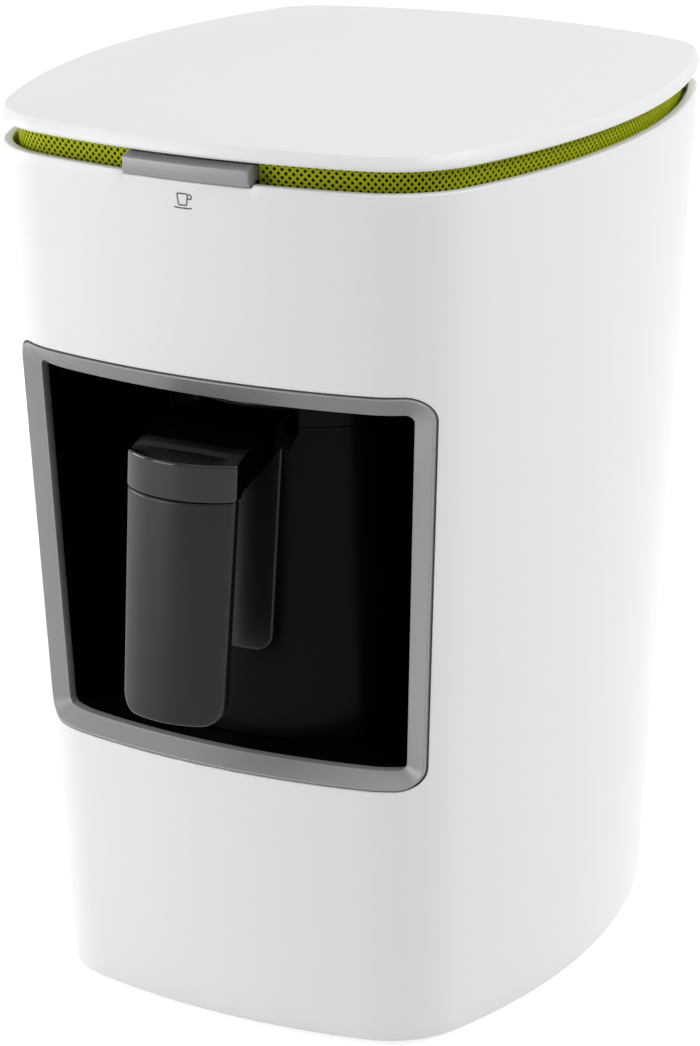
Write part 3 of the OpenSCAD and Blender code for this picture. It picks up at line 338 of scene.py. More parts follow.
def build_shell(foot_edge):
    """Housing wall with its window, lead inlet, rounded foot, rounded rim and screw posts."""
    m = Mesher()
    rim_edge, inner_edge, gap, lip = 0.6, 0.5, 0.32, 0.35
    side_steps, back_steps, steps = 60, 12, [2, 10, 5, 44, 8]
    notch, past = [PLAN.length_at(BUTTON_HALF + room, RIM_Z) for room in (0.3, 0.6)]
    cols = (spread(-WINDOW_S, -past, 24) + [-past] + spread(-notch, notch, 14) + [notch]
            + spread(past, WINDOW_S, 24))
    across = len(cols)
    stops = [WINDOW_S, PLAN.half - BACK_S, PLAN.half + BACK_S, PLAN.length - WINDOW_S]
    for a, b, n in zip(stops, stops[1:], (side_steps, back_steps, side_steps)):
        cols += spread(a, b, n)
    heights = [FOOT_Z + foot_edge, 10.0, 38.0, 62.0, 184.0, RIM_Z - rim_edge]
    levels = [z for a, b, n in zip(heights, heights[1:], steps) for z in spread(a, b, n)] + [heights[-1]]
    window_box = (sum(steps[:3]), sum(steps[:4]), 0, across)
    inlet_box = (steps[0], sum(steps[:2]), across + side_steps, across + side_steps + back_steps)
    angles = [math.radians(225 + 90 * side) + math.pi / 2 * t
              for side, n in enumerate((back_steps, steps[1]) * 2) for t in spread(0, 1, n)]
    inlet = [(PLAN.half + GLAND_R / share_at(GLAND_Z) * math.cos(a), GLAND_Z + GLAND_R * math.sin(a))
             for a in angles]

    def window_edge(grow):
        return trapezoid(grown(WINDOW_OUT, grow), across, steps[3], 5)

    def layer(off, grow):
        window = [(PLAN.length_at(x, z, off), z) for x, z in window_edge(grow)]
        return shell_layer(m, cols, levels, off, ((window_box, window, 8), (inlet_box, inlet, 4)))

    def dipped(z, s):
        """The rim dips under the start button."""
        return z - (NOTCH if abs(s) < notch + 0.01 else 0.0)

    outer, front, back = layer(0.0, gap + lip)
    inner, in_front, in_back = layer(WALL, gap)
    foot = [m.ring([PLAN.wall(s, FOOT_Z + foot_edge * a, foot_edge * b) for s in cols])
            for a, b in quarter(4)[:-1]]
    edges = [(RIM_Z - rim_edge * b, rim_edge * a) for a, b in quarter(4)[1:]]
    edges += [(RIM_Z - inner_edge * a, WALL - inner_edge * b) for a, b in quarter(3)]
    rim = [m.ring([PLAN.wall(s, dipped(z, s), off) for s in cols]) for z, off in edges]
    for ring, off in ((outer[-1], 0.0), (inner[-1], WALL)):
        for i, s in zip(ring, cols):
            m.points[i] = PLAN.wall(s, dipped(m.points[i][2], s), off)
    m.bridges([inner[0], *foot, outer[0]])
    m.bridges([outer[-1], *rim, inner[-1]])
    rounding = [m.ring([(x, PLAN.front(x, z)[1] + lip * a, z) for x, z in window_edge(gap + lip * b)])
                for a, b in quarter(4)[1:]]
    m.bridges([front, *rounding, in_front])
    m.bridge(back, in_back)
    for low, high, level, places, inset in POSTS:
        share = share_at(level)
        for y in places:
            x = share * (WIDTH / 2 - SIDE_R + math.sqrt(SIDE_R ** 2 - (y / share) ** 2)) - inset
            for side in (-1, 1):
                m.tube((side * x, y, low), (side * x, y, high), POST_R, POST_BORE_R)
    return m


def build_cover(crown):
    """Top cover: rounded skirt, crease, low crown and the pocket underneath."""
    m = Mesher()
    cols = spread(0, PLAN.length, 256)
    crease_off, inner_off, flat_off, wall, ceiling_z = 1.35, 8.0, 26.0, 3.6, 230.1

    def dome(off):
        d = min(1.0, max(0.0, (off - crease_off) / (flat_off - crease_off)))
        return TOP_Z + crown * (1 - (1 - d) ** 2)

    def line(off, z, share=1.0):
        return m.ring([(x * share, y * share, z) for x, y in (PLAN.at(s, off) for s in cols)])

    profile = [(wall, ceiling_z), (wall, COVER_Z + 0.3)]
    profile += [(wall - 0.3 * a, COVER_Z + 0.3 * b) for a, b in quarter(3)[1:]]
    profile += [(1.25, COVER_Z), (0.86, COVER_Z + 0.05), (0.55, COVER_Z + 0.2), (0.3, COVER_Z + 0.42),
                (0.12, COVER_Z + 0.75), (0.14, COVER_Z + 1.0), (0.62, TOP_Z - 1.4), (1.13, TOP_Z - 0.28),
                (1.2, TOP_Z - 0.14), (1.36, TOP_Z - 0.14), (1.4, TOP_Z - 0.04), (1.5, TOP_Z + 0.01)]
    profile += [(off, dome(off)) for off in (1.7, 1.9, 2.6, 3.6, 5.0, 6.5, inner_off)]
    rings = [line(off, z) for off, z in profile]
    for share in (0.97, 0.93, 0.89, 0.85, 0.8, 0.74, 0.66, 0.56, 0.45, 0.33, 0.2, 0.08):
        rings.append(line(inner_off, dome(inner_off + (1 - share) * (WIDTH / 2 - inner_off)), share))
    m.bridges(rings)
    m.fan(rings[-1], (0, 0, TOP_Z + crown))
    ceiling = [rings[0]] + [line(wall, ceiling_z, share) for share in (0.7, 0.35, 0.1)]
    m.bridges(ceiling)
    m.fan(ceiling[-1], (0, 0, ceiling_z))
    return m


def build_band(pitch, row_pitch, hole):
    """Perforated band under the cover, with staggered round holes, open at the start button."""
    m = Mesher()
    start = PLAN.length_at(BUTTON_HALF + 0.65, RIM_Z)
    run = PLAN.length - 2 * start
    halves = 2 * round(run / pitch)
    rows, rows_low, step = 7, 221.39, run / halves

    def point(q, z, off):
        return PLAN.wall(start + q * step, z, off)

    def line(z, off):
        return m.ring([point(q, z, off) for q in range(halves + 1)])

    cell = ((-step, -row_pitch / 2), (0, -1), (step, -row_pitch / 2),
            (step, row_pitch / 2), (0, 1), (-step, row_pitch / 2))
    corners = [math.atan2(z, x) % TURN for x, z in cell]
    angles = []
    for i, a in enumerate(corners):
        b = corners[(i + 1) % 6]
        b += TURN if b < a else 0
        angles += [a, (a + b) / 2]
    levels = [rows_low + row_pitch * j for j in range(rows + 1)]
    layers = []
    for off in (BAND_OFF, BAND_OFF + BAND_T / 2):
        lines = [line(z, off) for z in levels]
        low, high = line(BAND_LOW, off), line(BAND_HIGH, off)
        m.bridge(low, lines[0], closed=False)
        m.bridge(lines[-1], high, closed=False)
        holes = []
        for j, (under, over) in enumerate(zip(lines, lines[1:])):
            z = (levels[j] + levels[j + 1]) / 2
            for q in range(j % 2, halves - 1, 2):
                edge = under[q:q + 3] + over[q:q + 3][::-1]
                ring = m.ring([point(q + 1 + hole / 2 * math.cos(a) / step, z + hole / 2 * math.sin(a), off)
                               for a in angles])
                for i in range(6):
                    m.faces.append((edge[i], edge[(i + 1) % 6],
                                    ring[(2 * i + 2) % 12], ring[2 * i + 1], ring[2 * i]))
                holes.append(ring)
            if j % 2:
                for q in (0, halves - 1):
                    m.faces.append((under[q], under[q + 1], over[q + 1], over[q]))
        layers.append(([low] + lines + [high], holes))
    (outer, outer_holes), (inner, inner_holes) = layers
    for end in (0, -1):
        m.bridge(outer[end], inner[end], closed=False)
    for a, b in zip(outer_holes, inner_holes):
        m.bridge(a, b)
    for end in (0, -1):
        m.bridge([row[end] for row in outer], [row[end] for row in inner], closed=False)
    return m


def build_window_frame(lip):
    """Frame round the window: narrow rounded lip, groove, sloping face, rounded inner edge."""
    m = Mesher()
    counts = (72, 60, 8)
    outer, inner = trapezoid(WINDOW_OUT, *counts), trapezoid(WINDOW_IN, *counts)
    depth, back, proud, deep, fall = 4.0, 4.6, 0.12, 6.2, 0.1
    # Distance from the outer edge, share of what is left to the inner edge, depth behind the front.
    face = [(0.0, 0.0, back - 0.6), (0.12, 0.0, 1.2), (0.12, 0.0, 0.15), (0.15, 0.0, 0.02),
            (0.22, 0.0, -0.08), (0.32, 0.0, -proud), (lip, 0.0, -proud), (lip + 0.08, 0.0, -0.06)]
    face += [(lip + fall, share, fall - proud + (depth + proud - fall) * share)
             for share in (0.03, 0.1, 0.3, 0.5, 0.7, 0.88, 0.95)]
    face += [(0.0, 0.99, depth - 0.12), (0.0, 1.0, depth + 0.02)]
    # Distance past the inner edge, depth behind the front.
    inside = [(0.08, depth + 0.2), (0.12, deep), (-0.2, deep), (-0.2, back)]

    def line(add, share, off):
        points = []
        for (px, pz), (qx, qz) in zip(outer, inner):
            run = math.dist((px, pz), (qx, qz))
            t = share + add / run * (1 - share) if share < 1 else 1 + add / run
            points.append(PLAN.front(px + (qx - px) * t, pz + (qz - pz) * t, off))
        return m.ring(points)

    m.bridges([line(*row) for row in face] + [line(past, 1.0, off) for past, off in inside], looped=True)
    return m


def build_button():
    """Start button: bar that follows the front, with a sloping top, a ridge, rounded ends and two stems."""
    m = Mesher()
    face = DEPTH / 2 * share_at(BUTTON_Z) + 0.9
    rear, stem_end = GUIDE_Y - SPRING_LENGTH, GUIDE_Y + 2.5 + 1.6
    low, high, end_r = BUTTON_LOW, BUTTON_HIGH, 0.45
    profile = [(3.4, low + 0.05), (0.7, low), (0.52, low + 0.04), (0.03, low + 0.82), (0.0, low + 0.92),
               (0.0, high - 1.1), (0.05, high - 0.97), (0.2, high - 0.9), (2.7, high - 0.12), (2.85, high),
               (3.1, high + 0.05), (3.3, high - 0.05), (3.4, high - 0.25), (3.6, high - 0.28)]

    def point(x, d, z):
        return x, FRONT_R - face - math.sqrt((FRONT_R - d) ** 2 - x * x), z

    ends = [(-BUTTON_HALF + end_r * a, end_r * b) for a, b in quarter(5)]
    stations = ends + [(x, 0.0) for x in spread(-BUTTON_HALF + 2 * end_r, BUTTON_HALF - end_r, 30)]
    stations += [(-x, inset) for x, inset in reversed(ends)]
    rows = []
    for x, inset in stations:
        row = []
        for d, z in profile:
            lift = 0.5 * inset * max(-1.0, min(1.0, ((low + high) / 2 - z) / 1.5))
            row.append(point(x, d + inset * max(0.0, 1 - d / 3.4), z + lift))
        row += [(x, rear, high - 0.28), (x, rear, low + 0.95), point(x, 3.5, low + 0.95)]
        rows.append(m.ring(row))
    m.bridges(rows)
    m.faces += [tuple(rows[0]), tuple(rows[-1])]
    for x in (-STEM_X, STEM_X):
        m.tube((x, rear - 0.5, BUTTON_Z), (x, stem_end, BUTTON_Z), 1.5)
        m.tube((x, GUIDE_Y + 2.6, BUTTON_Z), (x, stem_end, BUTTON_Z), 2.1)
    return m


def build_springs(turns, wire_r):
    """Two compression springs with closed ends round the button's stems."""
    m = Mesher()
    coil_r, steps, sides = 2.2, 20, 10
    pitch = (SPRING_LENGTH - 6 * wire_r) / (turns - 2)
    for x in (-STEM_X, STEM_X):
        rings = []
        for i in range(turns * steps + 1):
            t = i / steps
            closed, free = min(t, 1) + max(0, t - turns + 1), max(0, min(t - 1, turns - 2))
            y = GUIDE_Y - SPRING_LENGTH + (wire_r + 2 * wire_r * closed + pitch * free)
            a = TURN * t
            ring = []
            for b in spread(0, TURN, sides):
                r = coil_r + wire_r * math.cos(b)
                ring.append((x + r * math.cos(a), y + wire_r * math.sin(b), BUTTON_Z + r * math.sin(a)))
            rings.append(m.ring(ring))
        m.bridges(rings)
        for ring in (rings[0], rings[-1]):
            m.fan(ring, tuple(sum((Vector(m.points[i]) for i in ring), Vector()) / sides))
    return m


def ribbon(m, path, width, closed, lift=0.045, sink=0.05):
    """Flat printed line along a path of x and z, lying on the housing's front."""
    n = len(path)
    rings = []
    for i, (x, z) in enumerate(path):
        a = path[(i - 1) % n] if closed or i > 0 else path[i]
        b = path[(i + 1) % n] if closed or i < n - 1 else path[i]
        dx, dz = b[0] - a[0], b[1] - a[1]
        run = math.hypot(dx, dz)
        nx, nz = -dz / run * width / 2, dx / run * width / 2
        rings.append(m.ring([PLAN.front(x + side * nx, z + side * nz, off)
                             for side, off in ((1, -lift), (-1, -lift), (-1, sink), (1, sink))]))
    m.bridges(rings, looped=closed)
    if not closed:
        m.faces += [tuple(rings[0]), tuple(rings[-1])]


def rounded(points, radius, steps=5):
    """Closed path through points with its corners cut to small curves."""
    path = []
    for i, p in enumerate(points):
        a, b, p = Vector(points[i - 1]), Vector(points[(i + 1) % len(points)]), Vector(p)
        r = min(radius, (a - p).length * 0.45, (b - p).length * 0.45)
        u, v = p + (a - p).normalized() * r, p + (b - p).normalized() * r
        for t in (j / steps for j in range(steps + 1)):
            path.append(tuple(u * (1 - t) ** 2 + p * 2 * t * (1 - t) + v * t * t))
    return path


def build_cup_mark(line):
    """Outline of a small cup over its saucer line."""
    m = Mesher()
    rim_z, foot_z, ear_r, saucer_half = 219.42, 216.62, 0.56, 2.4
    ribbon(m, rounded([(-2.4, rim_z), (0.5, rim_z), (0.14, foot_z), (-2.04, foot_z)], 0.4), line, True)
    ear = [(0.98 + ear_r * math.cos(a), 218.75 + ear_r * math.sin(a))
           for a in (math.radians(140 - 285 * i / 18) for i in range(19))]
    ribbon(m, ear, line * 0.95, False)
    saucer = [(x - 0.87, 216.02 - 0.12 * math.cos(x / saucer_half * math.pi / 2))
              for x in spread(-saucer_half, saucer_half, 14) + [saucer_half]]
    ribbon(m, saucer, line, False)
    return m


# Pot

POT_TURNS = spread(0, TURN, 192)
LIP_TIP_R, LIP_TIP = 2.0, POT_TOP_R + 2.4


def off_lip(angle):
    """Angle between a direction and the nearer pouring lip; there is one at each side."""
    return abs((angle + math.pi / 2) % math.pi - math.pi / 2)


def rim_radius(angle):
    """Distance from the pot's axis to the rim's edge."""
    a = off_lip(angle)
    lip_a = math.acos((POT_TOP_R - LIP_TIP_R) / LIP_TIP)
    tip_a = math.atan2(LIP_TIP_R * math.sin(lip_a), LIP_TIP + LIP_TIP_R * math.cos(lip_a))
    if a >= lip_a:
        return POT_TOP_R
    if a >= tip_a:
        return POT_TOP_R / math.cos(lip_a - a)
    return LIP_TIP * math.cos(a) + math.sqrt(LIP_TIP_R ** 2 - (LIP_TIP * math.sin(a)) ** 2)


def pot_point(radius, angle, z):
    return radius * math.cos(angle), POT_Y + radius * math.sin(angle), z


def build_vessel():
    """Vessel with a rolled flat rim that dips into two pouring lips."""
    m = Mesher()
    foot_z, foot, neck, wall, collar_lip = 96.9, 34.8, 33.8, 0.8, 0.45
    # Radius and height.
    inside = [(0.01, foot_z + wall), (foot - 8, foot_z + wall), (foot - 4.2, foot_z + 0.95),
              (foot - 1.9, foot_z + 2.2), (foot - 0.9, foot_z + 4.6), (neck - 0.75, POT_RIM_Z - 6),
              (neck - wall, POT_RIM_Z - 1.2)]
    outside = [(neck, POT_RIM_Z - 1.2), (neck, POT_RIM_Z - 6), (foot, foot_z + 4.2),
               (foot - 0.9, foot_z + 1.6), (foot - 4, foot_z), (0.01, foot_z)]
    # Share of the way from the neck to the collar's lip, rise over the rim's height.
    rim = [(0.0, 0.45), (0.06, 0.72), (0.3, 0.8), (0.7, 0.8), (0.9, 0.76), (0.99, 0.62), (1.0, 0.4),
           (0.99, 0.16), (0.9, 0.02), (0.3, 0.0)]

    def turned(profile):
        return [m.ring([pot_point(r, a, z) for a in POT_TURNS]) for r, z in profile]

    def flange(share, rise):
        points = []
        for a in POT_TURNS:
            reach = rim_radius(a) - collar_lip - neck + wall
            dip = 0.2 * smooth_step(0.5, 0, off_lip(a))
            points.append(pot_point(neck - wall + reach * share, a, POT_RIM_Z + rise * (1 - dip)))
        return m.ring(points)

    rings = turned(inside) + [flange(*row) for row in rim] + turned(outside)
    m.bridges(rings)
    m.fan(rings[0], (0, POT_Y, foot_z + wall))
    m.fan(rings[-1], (0, POT_Y, foot_z))
    return m


def build_collar():
    """Ring under the vessel's rim that carries the arm, with a small lip round the rim."""
    m = Mesher()
    bore, lip, lip_z, seat_z = POT_TOP_R - 3.0, 0.36, POT_RIM_Z + 0.62, POT_RIM_Z - 0.05
    low_edge, lip_edge = 0.5, 0.18

    def outer(inset, z):
        return m.ring([pot_point(rim_radius(a) - inset, a, z) for a in POT_TURNS])

    rings = [m.ring([pot_point(bore, a, COLLAR_Z) for a in POT_TURNS])]
    rings += [outer(low_edge * b, COLLAR_Z + low_edge * a) for a, b in quarter(4)]
    rings += [outer(lip_edge * a, lip_z - lip_edge * b) for a, b in quarter(3)]
    rings += [outer(lip - lip_edge * b, lip_z - lip_edge * a) for a, b in quarter(3)]
    rings += [outer(lip, seat_z), m.ring([pot_point(bore, a, seat_z) for a in POT_TURNS])]
    m.bridges(rings, looped=True)
    return m


def lean_y(v, z):
    """Y at height z of the leaning handle, v behind its front corners."""
    w = (z - CAP_EDGE_Z + v * math.sin(HANDLE_LEAN)) / math.cos(HANDLE_LEAN)
    return HANDLE_Y + v * math.cos(HANDLE_LEAN) + w * math.sin(HANDLE_LEAN)


def handle_front(x, z):
    """Y of the handle's bulging, leaning front."""
    r = (HANDLE_HALF ** 2 + HANDLE_BULGE ** 2) / (2 * HANDLE_BULGE)
    return lean_y(r - HANDLE_BULGE - math.sqrt(r * r - x * x), z)


def jacket_y(x, z, out):
    """Y of the jacket's front at x and z, out from its surface."""
    r = POT_FOOT_R - (POT_FOOT_R - POT_TOP_R) * (z - JACKET_Z) / (COLLAR_Z - JACKET_Z) + out
    return POT_Y - math.sqrt(r * r - x * x)


def slab(shape, counts, front, back, front_edge, back_edge):
    """Plate between two surfaces, with rounded edges; shape gives half widths, heights and corner radius."""
    m = Mesher()
    half_low, half_high, z0, z1, corner_r = shape

    def line(surface, inset, behind):
        outline = trapezoid((half_low - inset, half_high - inset, z0 + inset, z1 - inset, corner_r - inset,
                             max(0.02, 0.3 - inset * 0.3)), *counts)
        return m.ring([(x, surface(x, z) + behind, z) for x, z in outline])

    front_rings = [line(front, front_edge * b, front_edge * a) for a, b in quarter(5)]
    back_rings = [line(back, back_edge * a, -back_edge * b) for a, b in quarter(4)]
    m.bridges(back_rings[::-1] + front_rings[::-1])
    for ring, surface in ((front_rings[0], front), (back_rings[-1], back)):
        m.grid(ring, *counts[:2], lambda x, z: (x, surface(x, z), z))
    return m


def build_grip(edge):
    """Matt grip: bulging front, rounded edges, rounded lower corners."""
    half = HANDLE_HALF - 0.2
    return slab((half - 1.1, half, 91.6, CAP_JOINT_Z - 0.05, 5.0), (32, 48, 6), handle_front,
                lambda x, z: lean_y(2.2, z), edge, 0.4)


def build_wall_plate():
    """Matt plate on the pot's wall behind the grip."""
    return slab((9.6, 11.1, 99.3, 152.1, 4.3), (24, 40, 5), lambda x, z: jacket_y(x, z, 1.5),
                lambda x, z: jacket_y(x, z, 0.12), 0.5, 0.05)


ARM_ROWS = (
    # distance from the pot's axis, half width, underside, top
    (65.0, 15.15, 147.0, 156.5), (64.3, 15.1, 147.1, 156.75), (63.7, 15.0, 148.1, 156.95),
    (62.5, 14.95, 148.5, 157.38), (59.0, 14.9, 149.4, 158.45), (55.0, 14.85, 150.4, 159.65),
    (51.0, 14.8, 151.4, 160.6), (48.0, 14.7, 152.15, 160.88), (46.0, 14.4, 152.6, 160.98),
    (44.0, 13.9, 152.85, 161.0), (42.0, 13.35, 152.8, 161.0), (40.5, 13.0, 152.4, 161.0),
    (39.3, 12.75, 151.7, 161.0), (38.4, 12.6, 150.9, 161.0), (37.8, 12.5, 150.2, 161.0),
    (37.0, 12.5, 149.9, 161.0), (35.4, 12.5, 149.9, 161.0),
)
ARM_ACROSS, ARM_CORNER, ARM_TALL = 24, 3, 12
ARM_EDGE_R, ARM_CROWN = 0.74, 0.35


def arm_section(distance, half, low, high, crown, inset=0.0):
    """Loop of x and z round the arm at a distance from the pot's axis, from its lower left corner."""
    r = ARM_EDGE_R
    half, low, high = half - inset, low + inset, high - inset
    points = []

    def side_x(z):
        """Half width at height z: drawn in low down near the pot, and flared out to it higher up."""
        reach = 0.6 + 1.4 * smooth_step(150.0, 155.6, z)
        gap = min(reach, max(0.0, distance - POT_TOP_R - 0.2))
        flare = reach - math.sqrt(reach * reach - (reach - gap) ** 2)
        return half - 0.9 * (1 - smooth_step(150, 155, z)) * smooth_step(46, 37, distance) + flare

    def lift(x):
        return crown * (1 - (x / half) ** 2) if abs(x) < half else 0.0

    def corner(x0, z0, quarters, shares):
        for t in shares:
            a = math.pi / 2 * (quarters + t)
            x = x0 + r * math.cos(a)
            points.append((x, z0 + r * math.sin(a) + lift(x) * max(0.0, math.sin(a))))

    low_x, high_x = side_x(low + r) - r, side_x(high - r) - r
    whole = spread(0, 1, 2 * ARM_CORNER)
    corner(-low_x, low + r, 2, spread(0.5, 1, ARM_CORNER))
    points += [(x, low) for x in spread(-low_x, low_x, ARM_ACROSS)]
    corner(low_x, low + r, 3, whole)
    points += [(side_x(z), z) for z in spread(low + r, high - r, ARM_TALL)]
    corner(high_x, high - r, 0, whole)
    points += [(x, high + lift(x)) for x in spread(high_x, -high_x, ARM_ACROSS)]
    corner(-high_x, high - r, 1, whole)
    points += [(-side_x(z), z) for z in spread(high - r, low + r, ARM_TALL)]
    corner(-low_x, low + r, 2, spread(0, 0.5, ARM_CORNER))
    return points


def build_arm(edge):
    """Glossy arm and cap in one moulding."""
    m = Mesher()
    rings = []
    for a, b in reversed(quarter(4)):
        loop = arm_section(ARM_ROWS[0][0], HANDLE_HALF, CAP_JOINT_Z, CAP_EDGE_Z, 0.6 * ARM_CROWN, edge * a)
        rings.append(m.ring([(x, handle_front(x, z) + edge * b, z) for x, z in loop]))
    for distance, half, low, high in ARM_ROWS:
        bend = smooth_step(46, 39, distance)
        points = []
        for x, z in arm_section(distance, half, low, high, ARM_CROWN * (1 - smooth_step(60, 45, distance))):
            bent = math.sqrt(max(1.0, distance ** 2 - x * x))
            points.append((x, POT_Y - distance + (distance - bent) * bend, z))
        rings.append(m.ring(points))
    m.bridges(rings)
    across, up = ARM_ACROSS + 2 * ARM_CORNER, ARM_TALL + 2 * ARM_CORNER
    m.grid(rings[0], across, up, lambda x, z: (x, handle_front(x, z), z))
    m.grid(rings[-1], across, up, lambda x, z: (x, POT_Y - math.sqrt(ARM_ROWS[-1][0] ** 2 - x * x), z))
    return m


# Materials


def feed(tree, node, values):
    """Gives inputs of a node, by name or number, a value or a link from another node's output."""
    for key, value in dict(values).items():
        if isinstance(value, bpy.types.NodeSocket):
            tree.links.new(value, node.inputs[key])
        else:
            node.inputs[key].default_value = value


def add_node(tree, kind, values=(), operation=None):
    """New shader node of a kind, with its inputs fed."""
    node = tree.nodes.new("ShaderNode" + kind)
    if operation:
        node.operation = operation
    feed(tree, node, values)
    return node


def surface_group():
    """Fine moulded or brushed grain: a colour with slow variation, a roughness and a height."""
    name = "surface_grain"
    if name in bpy.data.node_groups:
        return bpy.data.node_groups[name]
    tree = bpy.data.node_groups.new(name, "ShaderNodeTree")
    for label, kind, default in (("Colour", "Color", (0.5, 0.5, 0.5, 1)), ("Shade", "Float", 0.04),
                                 ("Roughness", "Float", 0.4), ("Smudge", "Float", 0.05),
                                 ("Grain Scale", "Float", 1500.0), ("Stretch", "Vector", (1, 1, 1))):
        made = tree.interface.new_socket(name=label, in_out="INPUT", socket_type="NodeSocket" + kind)
        made.default_value = default
    for label, kind in (("Colour", "Color"), ("Roughness", "Float"), ("Height", "Float")):
        tree.interface.new_socket(name=label, in_out="OUTPUT", socket_type="NodeSocket" + kind)
    given, out = tree.nodes.new("NodeGroupInput").outputs, tree.nodes.new("NodeGroupOutput")
    place = add_node(tree, "TexCoord").outputs["Object"]
    stretched = add_node(tree, "VectorMath", {0: place, 1: given["Stretch"]}, "MULTIPLY").outputs[0]
    slow = add_node(tree, "TexNoise", {"Vector": place, "Scale": 26.0, "Detail": 3.0}).outputs["Fac"]
    fine = add_node(tree, "TexNoise", {"Vector": stretched, "Scale": given["Grain Scale"], "Detail": 2.0})
    height = fine.outputs["Fac"]
    both = add_node(tree, "Mix", {0: 0.35, 2: slow, 3: height}).outputs[0]
    centred = add_node(tree, "Math", {0: both, 1: 0.5}, "SUBTRACT").outputs[0]
    varied = add_node(tree, "Math", {0: centred, 1: given["Shade"], 2: 1.0}, "MULTIPLY_ADD").outputs[0]
    smudged = add_node(tree, "Math", {0: centred, 1: given["Smudge"], 2: given["Roughness"]}, "MULTIPLY_ADD")
    tone = add_node(tree, "VectorMath", {0: given["Colour"], "Scale": varied}, "SCALE").outputs[0]
    rough = add_node(tree, "Clamp", {"Value": smudged.outputs[0], "Min": 0.02}).outputs[0]
    feed(tree, out, {"Colour": tone, "Roughness": rough, "Height": height})
    return tree


def finish_material(name, colour, roughness, shade=0.04, smudge=0.05, grain=1500.0, bump=0.03, depth=0.00005,
                    stretch=(1, 1, 1), metallic=0.0, specular=0.5):
    """Material with the shared grain; even values sit on the shader's own sockets."""
    name += "_finish"
    if name in bpy.data.materials:
        return bpy.data.materials[name]
    mat = bpy.data.materials.new(name)
    mat.use_nodes = True
    tree, shader = mat.node_tree, mat.node_tree.nodes["Principled BSDF"]
    surface = tree.nodes.new("ShaderNodeGroup")
    surface.node_tree = surface_group()
    feed(tree, surface, {"Colour": (*colour, 1), "Shade": shade, "Roughness": roughness, "Smudge": smudge,
                         "Grain Scale": grain, "Stretch": stretch})
    made = surface.outputs
    feed(tree, shader, {"Base Color": made["Colour"], "Roughness": made["Roughness"], "Metallic": metallic,
                        "Specular IOR Level": specular})
    if bump:
        raised = add_node(tree, "Bump", {"Strength": bump, "Distance": depth, "Height": made["Height"]})
        feed(tree, shader, {"Normal": raised.outputs[0]})
    return mat


FINISHES = {
    "black_satin": dict(colour=(0.002, 0.002, 0.0022), roughness=0.26, smudge=0.08, specular=0.05),
    "dark_grey_plastic": dict(colour=(0.012, 0.012, 0.013), roughness=0.5, smudge=0.1, bump=0.1),
    "pot_steel": dict(colour=(0.55, 0.55, 0.56), roughness=0.3, metallic=1.0, bump=0.05,
                      stretch=(0.2, 0.2, 3)),
    "zinc": dict(colour=(0.6, 0.6, 0.62), roughness=0.35, metallic=1.0, smudge=0.15, shade=0.15),
    "spring_steel": dict(colour=(0.5, 0.5, 0.52), roughness=0.3, metallic=1.0),
    "heater_alloy": dict(colour=(0.72, 0.72, 0.74), roughness=0.45, metallic=1.0, grain=700.0, bump=0.2),
    "element_steel": dict(colour=(0.35, 0.27, 0.2), roughness=0.4, metallic=1.0, shade=0.5),
    "ceramic": dict(colour=(0.9, 0.88, 0.82), roughness=0.35),
    "contact_brass": dict(colour=(0.78, 0.6, 0.28), roughness=0.3, metallic=1.0, shade=0.1),
    "board_green": dict(colour=(0.03, 0.25, 0.1), roughness=0.4, shade=0.3, grain=600.0),
    "rubber": dict(colour=(0.05, 0.05, 0.05), roughness=0.8, smudge=0.1, bump=0.3, grain=900.0),
    "part_blue": dict(colour=(0.05, 0.15, 0.5), roughness=0.45),
    "part_navy": dict(colour=(0.02, 0.03, 0.15), roughness=0.3),
    "choke_wire": dict(colour=(0.4, 0.15, 0.05), roughness=0.35, stretch=(1, 1, 20), bump=0.6, shade=0.4),
    "lead_red": dict(colour=(0.6, 0.04, 0.03), roughness=0.45),
    "light_clear": dict(colour=(0.85, 0.9, 0.92), roughness=0.1),
    "lens_dark": dict(colour=(0.05, 0.01, 0.01), roughness=0.08, bump=0.0),
    "plunger_orange": dict(colour=(0.8, 0.3, 0.03), roughness=0.4),
}

# Parts of the frame that keep their own shape, by finish.
CARRIED = {
    "dark_grey_plastic": ("cover_carrier", "base_plate", "push_switch", "buzzer", "pot_base_cover"),
    "black_satin": ("niche_liner", "sensor_housing", "contact_block", "pot_jacket", "socket_housing"),
    "zinc": ("carrier_screws", "base_screws", "liner_screws", "control_board_screws", "power_board_screws",
             "block_screws", "grip_screws", "plate_screws", "pot_base_screws"),
    "rubber": ("rubber_feet", "cord_gland"),
    "board_green": ("control_board", "sensor_board", "power_board"),
    "light_clear": ("status_light", "light_guide"),
    "ceramic": ("fuse", "terminal_block", "temperature_sensor"),
    "contact_brass": ("contact_blades", "socket_clips"),
    "plunger_orange": ("switch_plunger",),
    "lens_dark": ("sensor_lens",),
    "part_blue": ("relay",),
    "part_navy": ("smoothing_capacitor",),
    "choke_wire": ("choke",),
    "lead_red": ("internal_leads",),
    "heater_alloy": ("heater_plate",),
    "element_steel": ("heating_element",),
}


def slot_material(slot):
    return finish_material(slot, **FINISHES[slot])


def silver_trim(scene):
    """Finish of the window frame and the start button."""
    return finish_material("silver_trim", scene.coffee_housing.trim, 0.4, shade=0.08, smudge=0.06,
                           grain=900.0, bump=0.02, metallic=0.15, stretch=(0.6, 0.6, 4.0))


def white_plastic(scene):
    """Finish of the housing and its cover."""
    return finish_material("white_plastic", scene.coffee_housing.colour, 0.3, shade=0.012, smudge=0.04,
                           grain=2600.0, depth=0.00003, specular=0.4)


# Settings


def colour_property(name, description, default):
    return FloatVectorProperty(name=name, description=description, subtype="COLOR", size=3,
                               min=0.0, max=1.0, default=default)


def size_property(name, description, millimetres):
    return FloatProperty(name=name, description=description, default=millimetres * MM, min=0.0,
                         unit="LENGTH", precision=4)


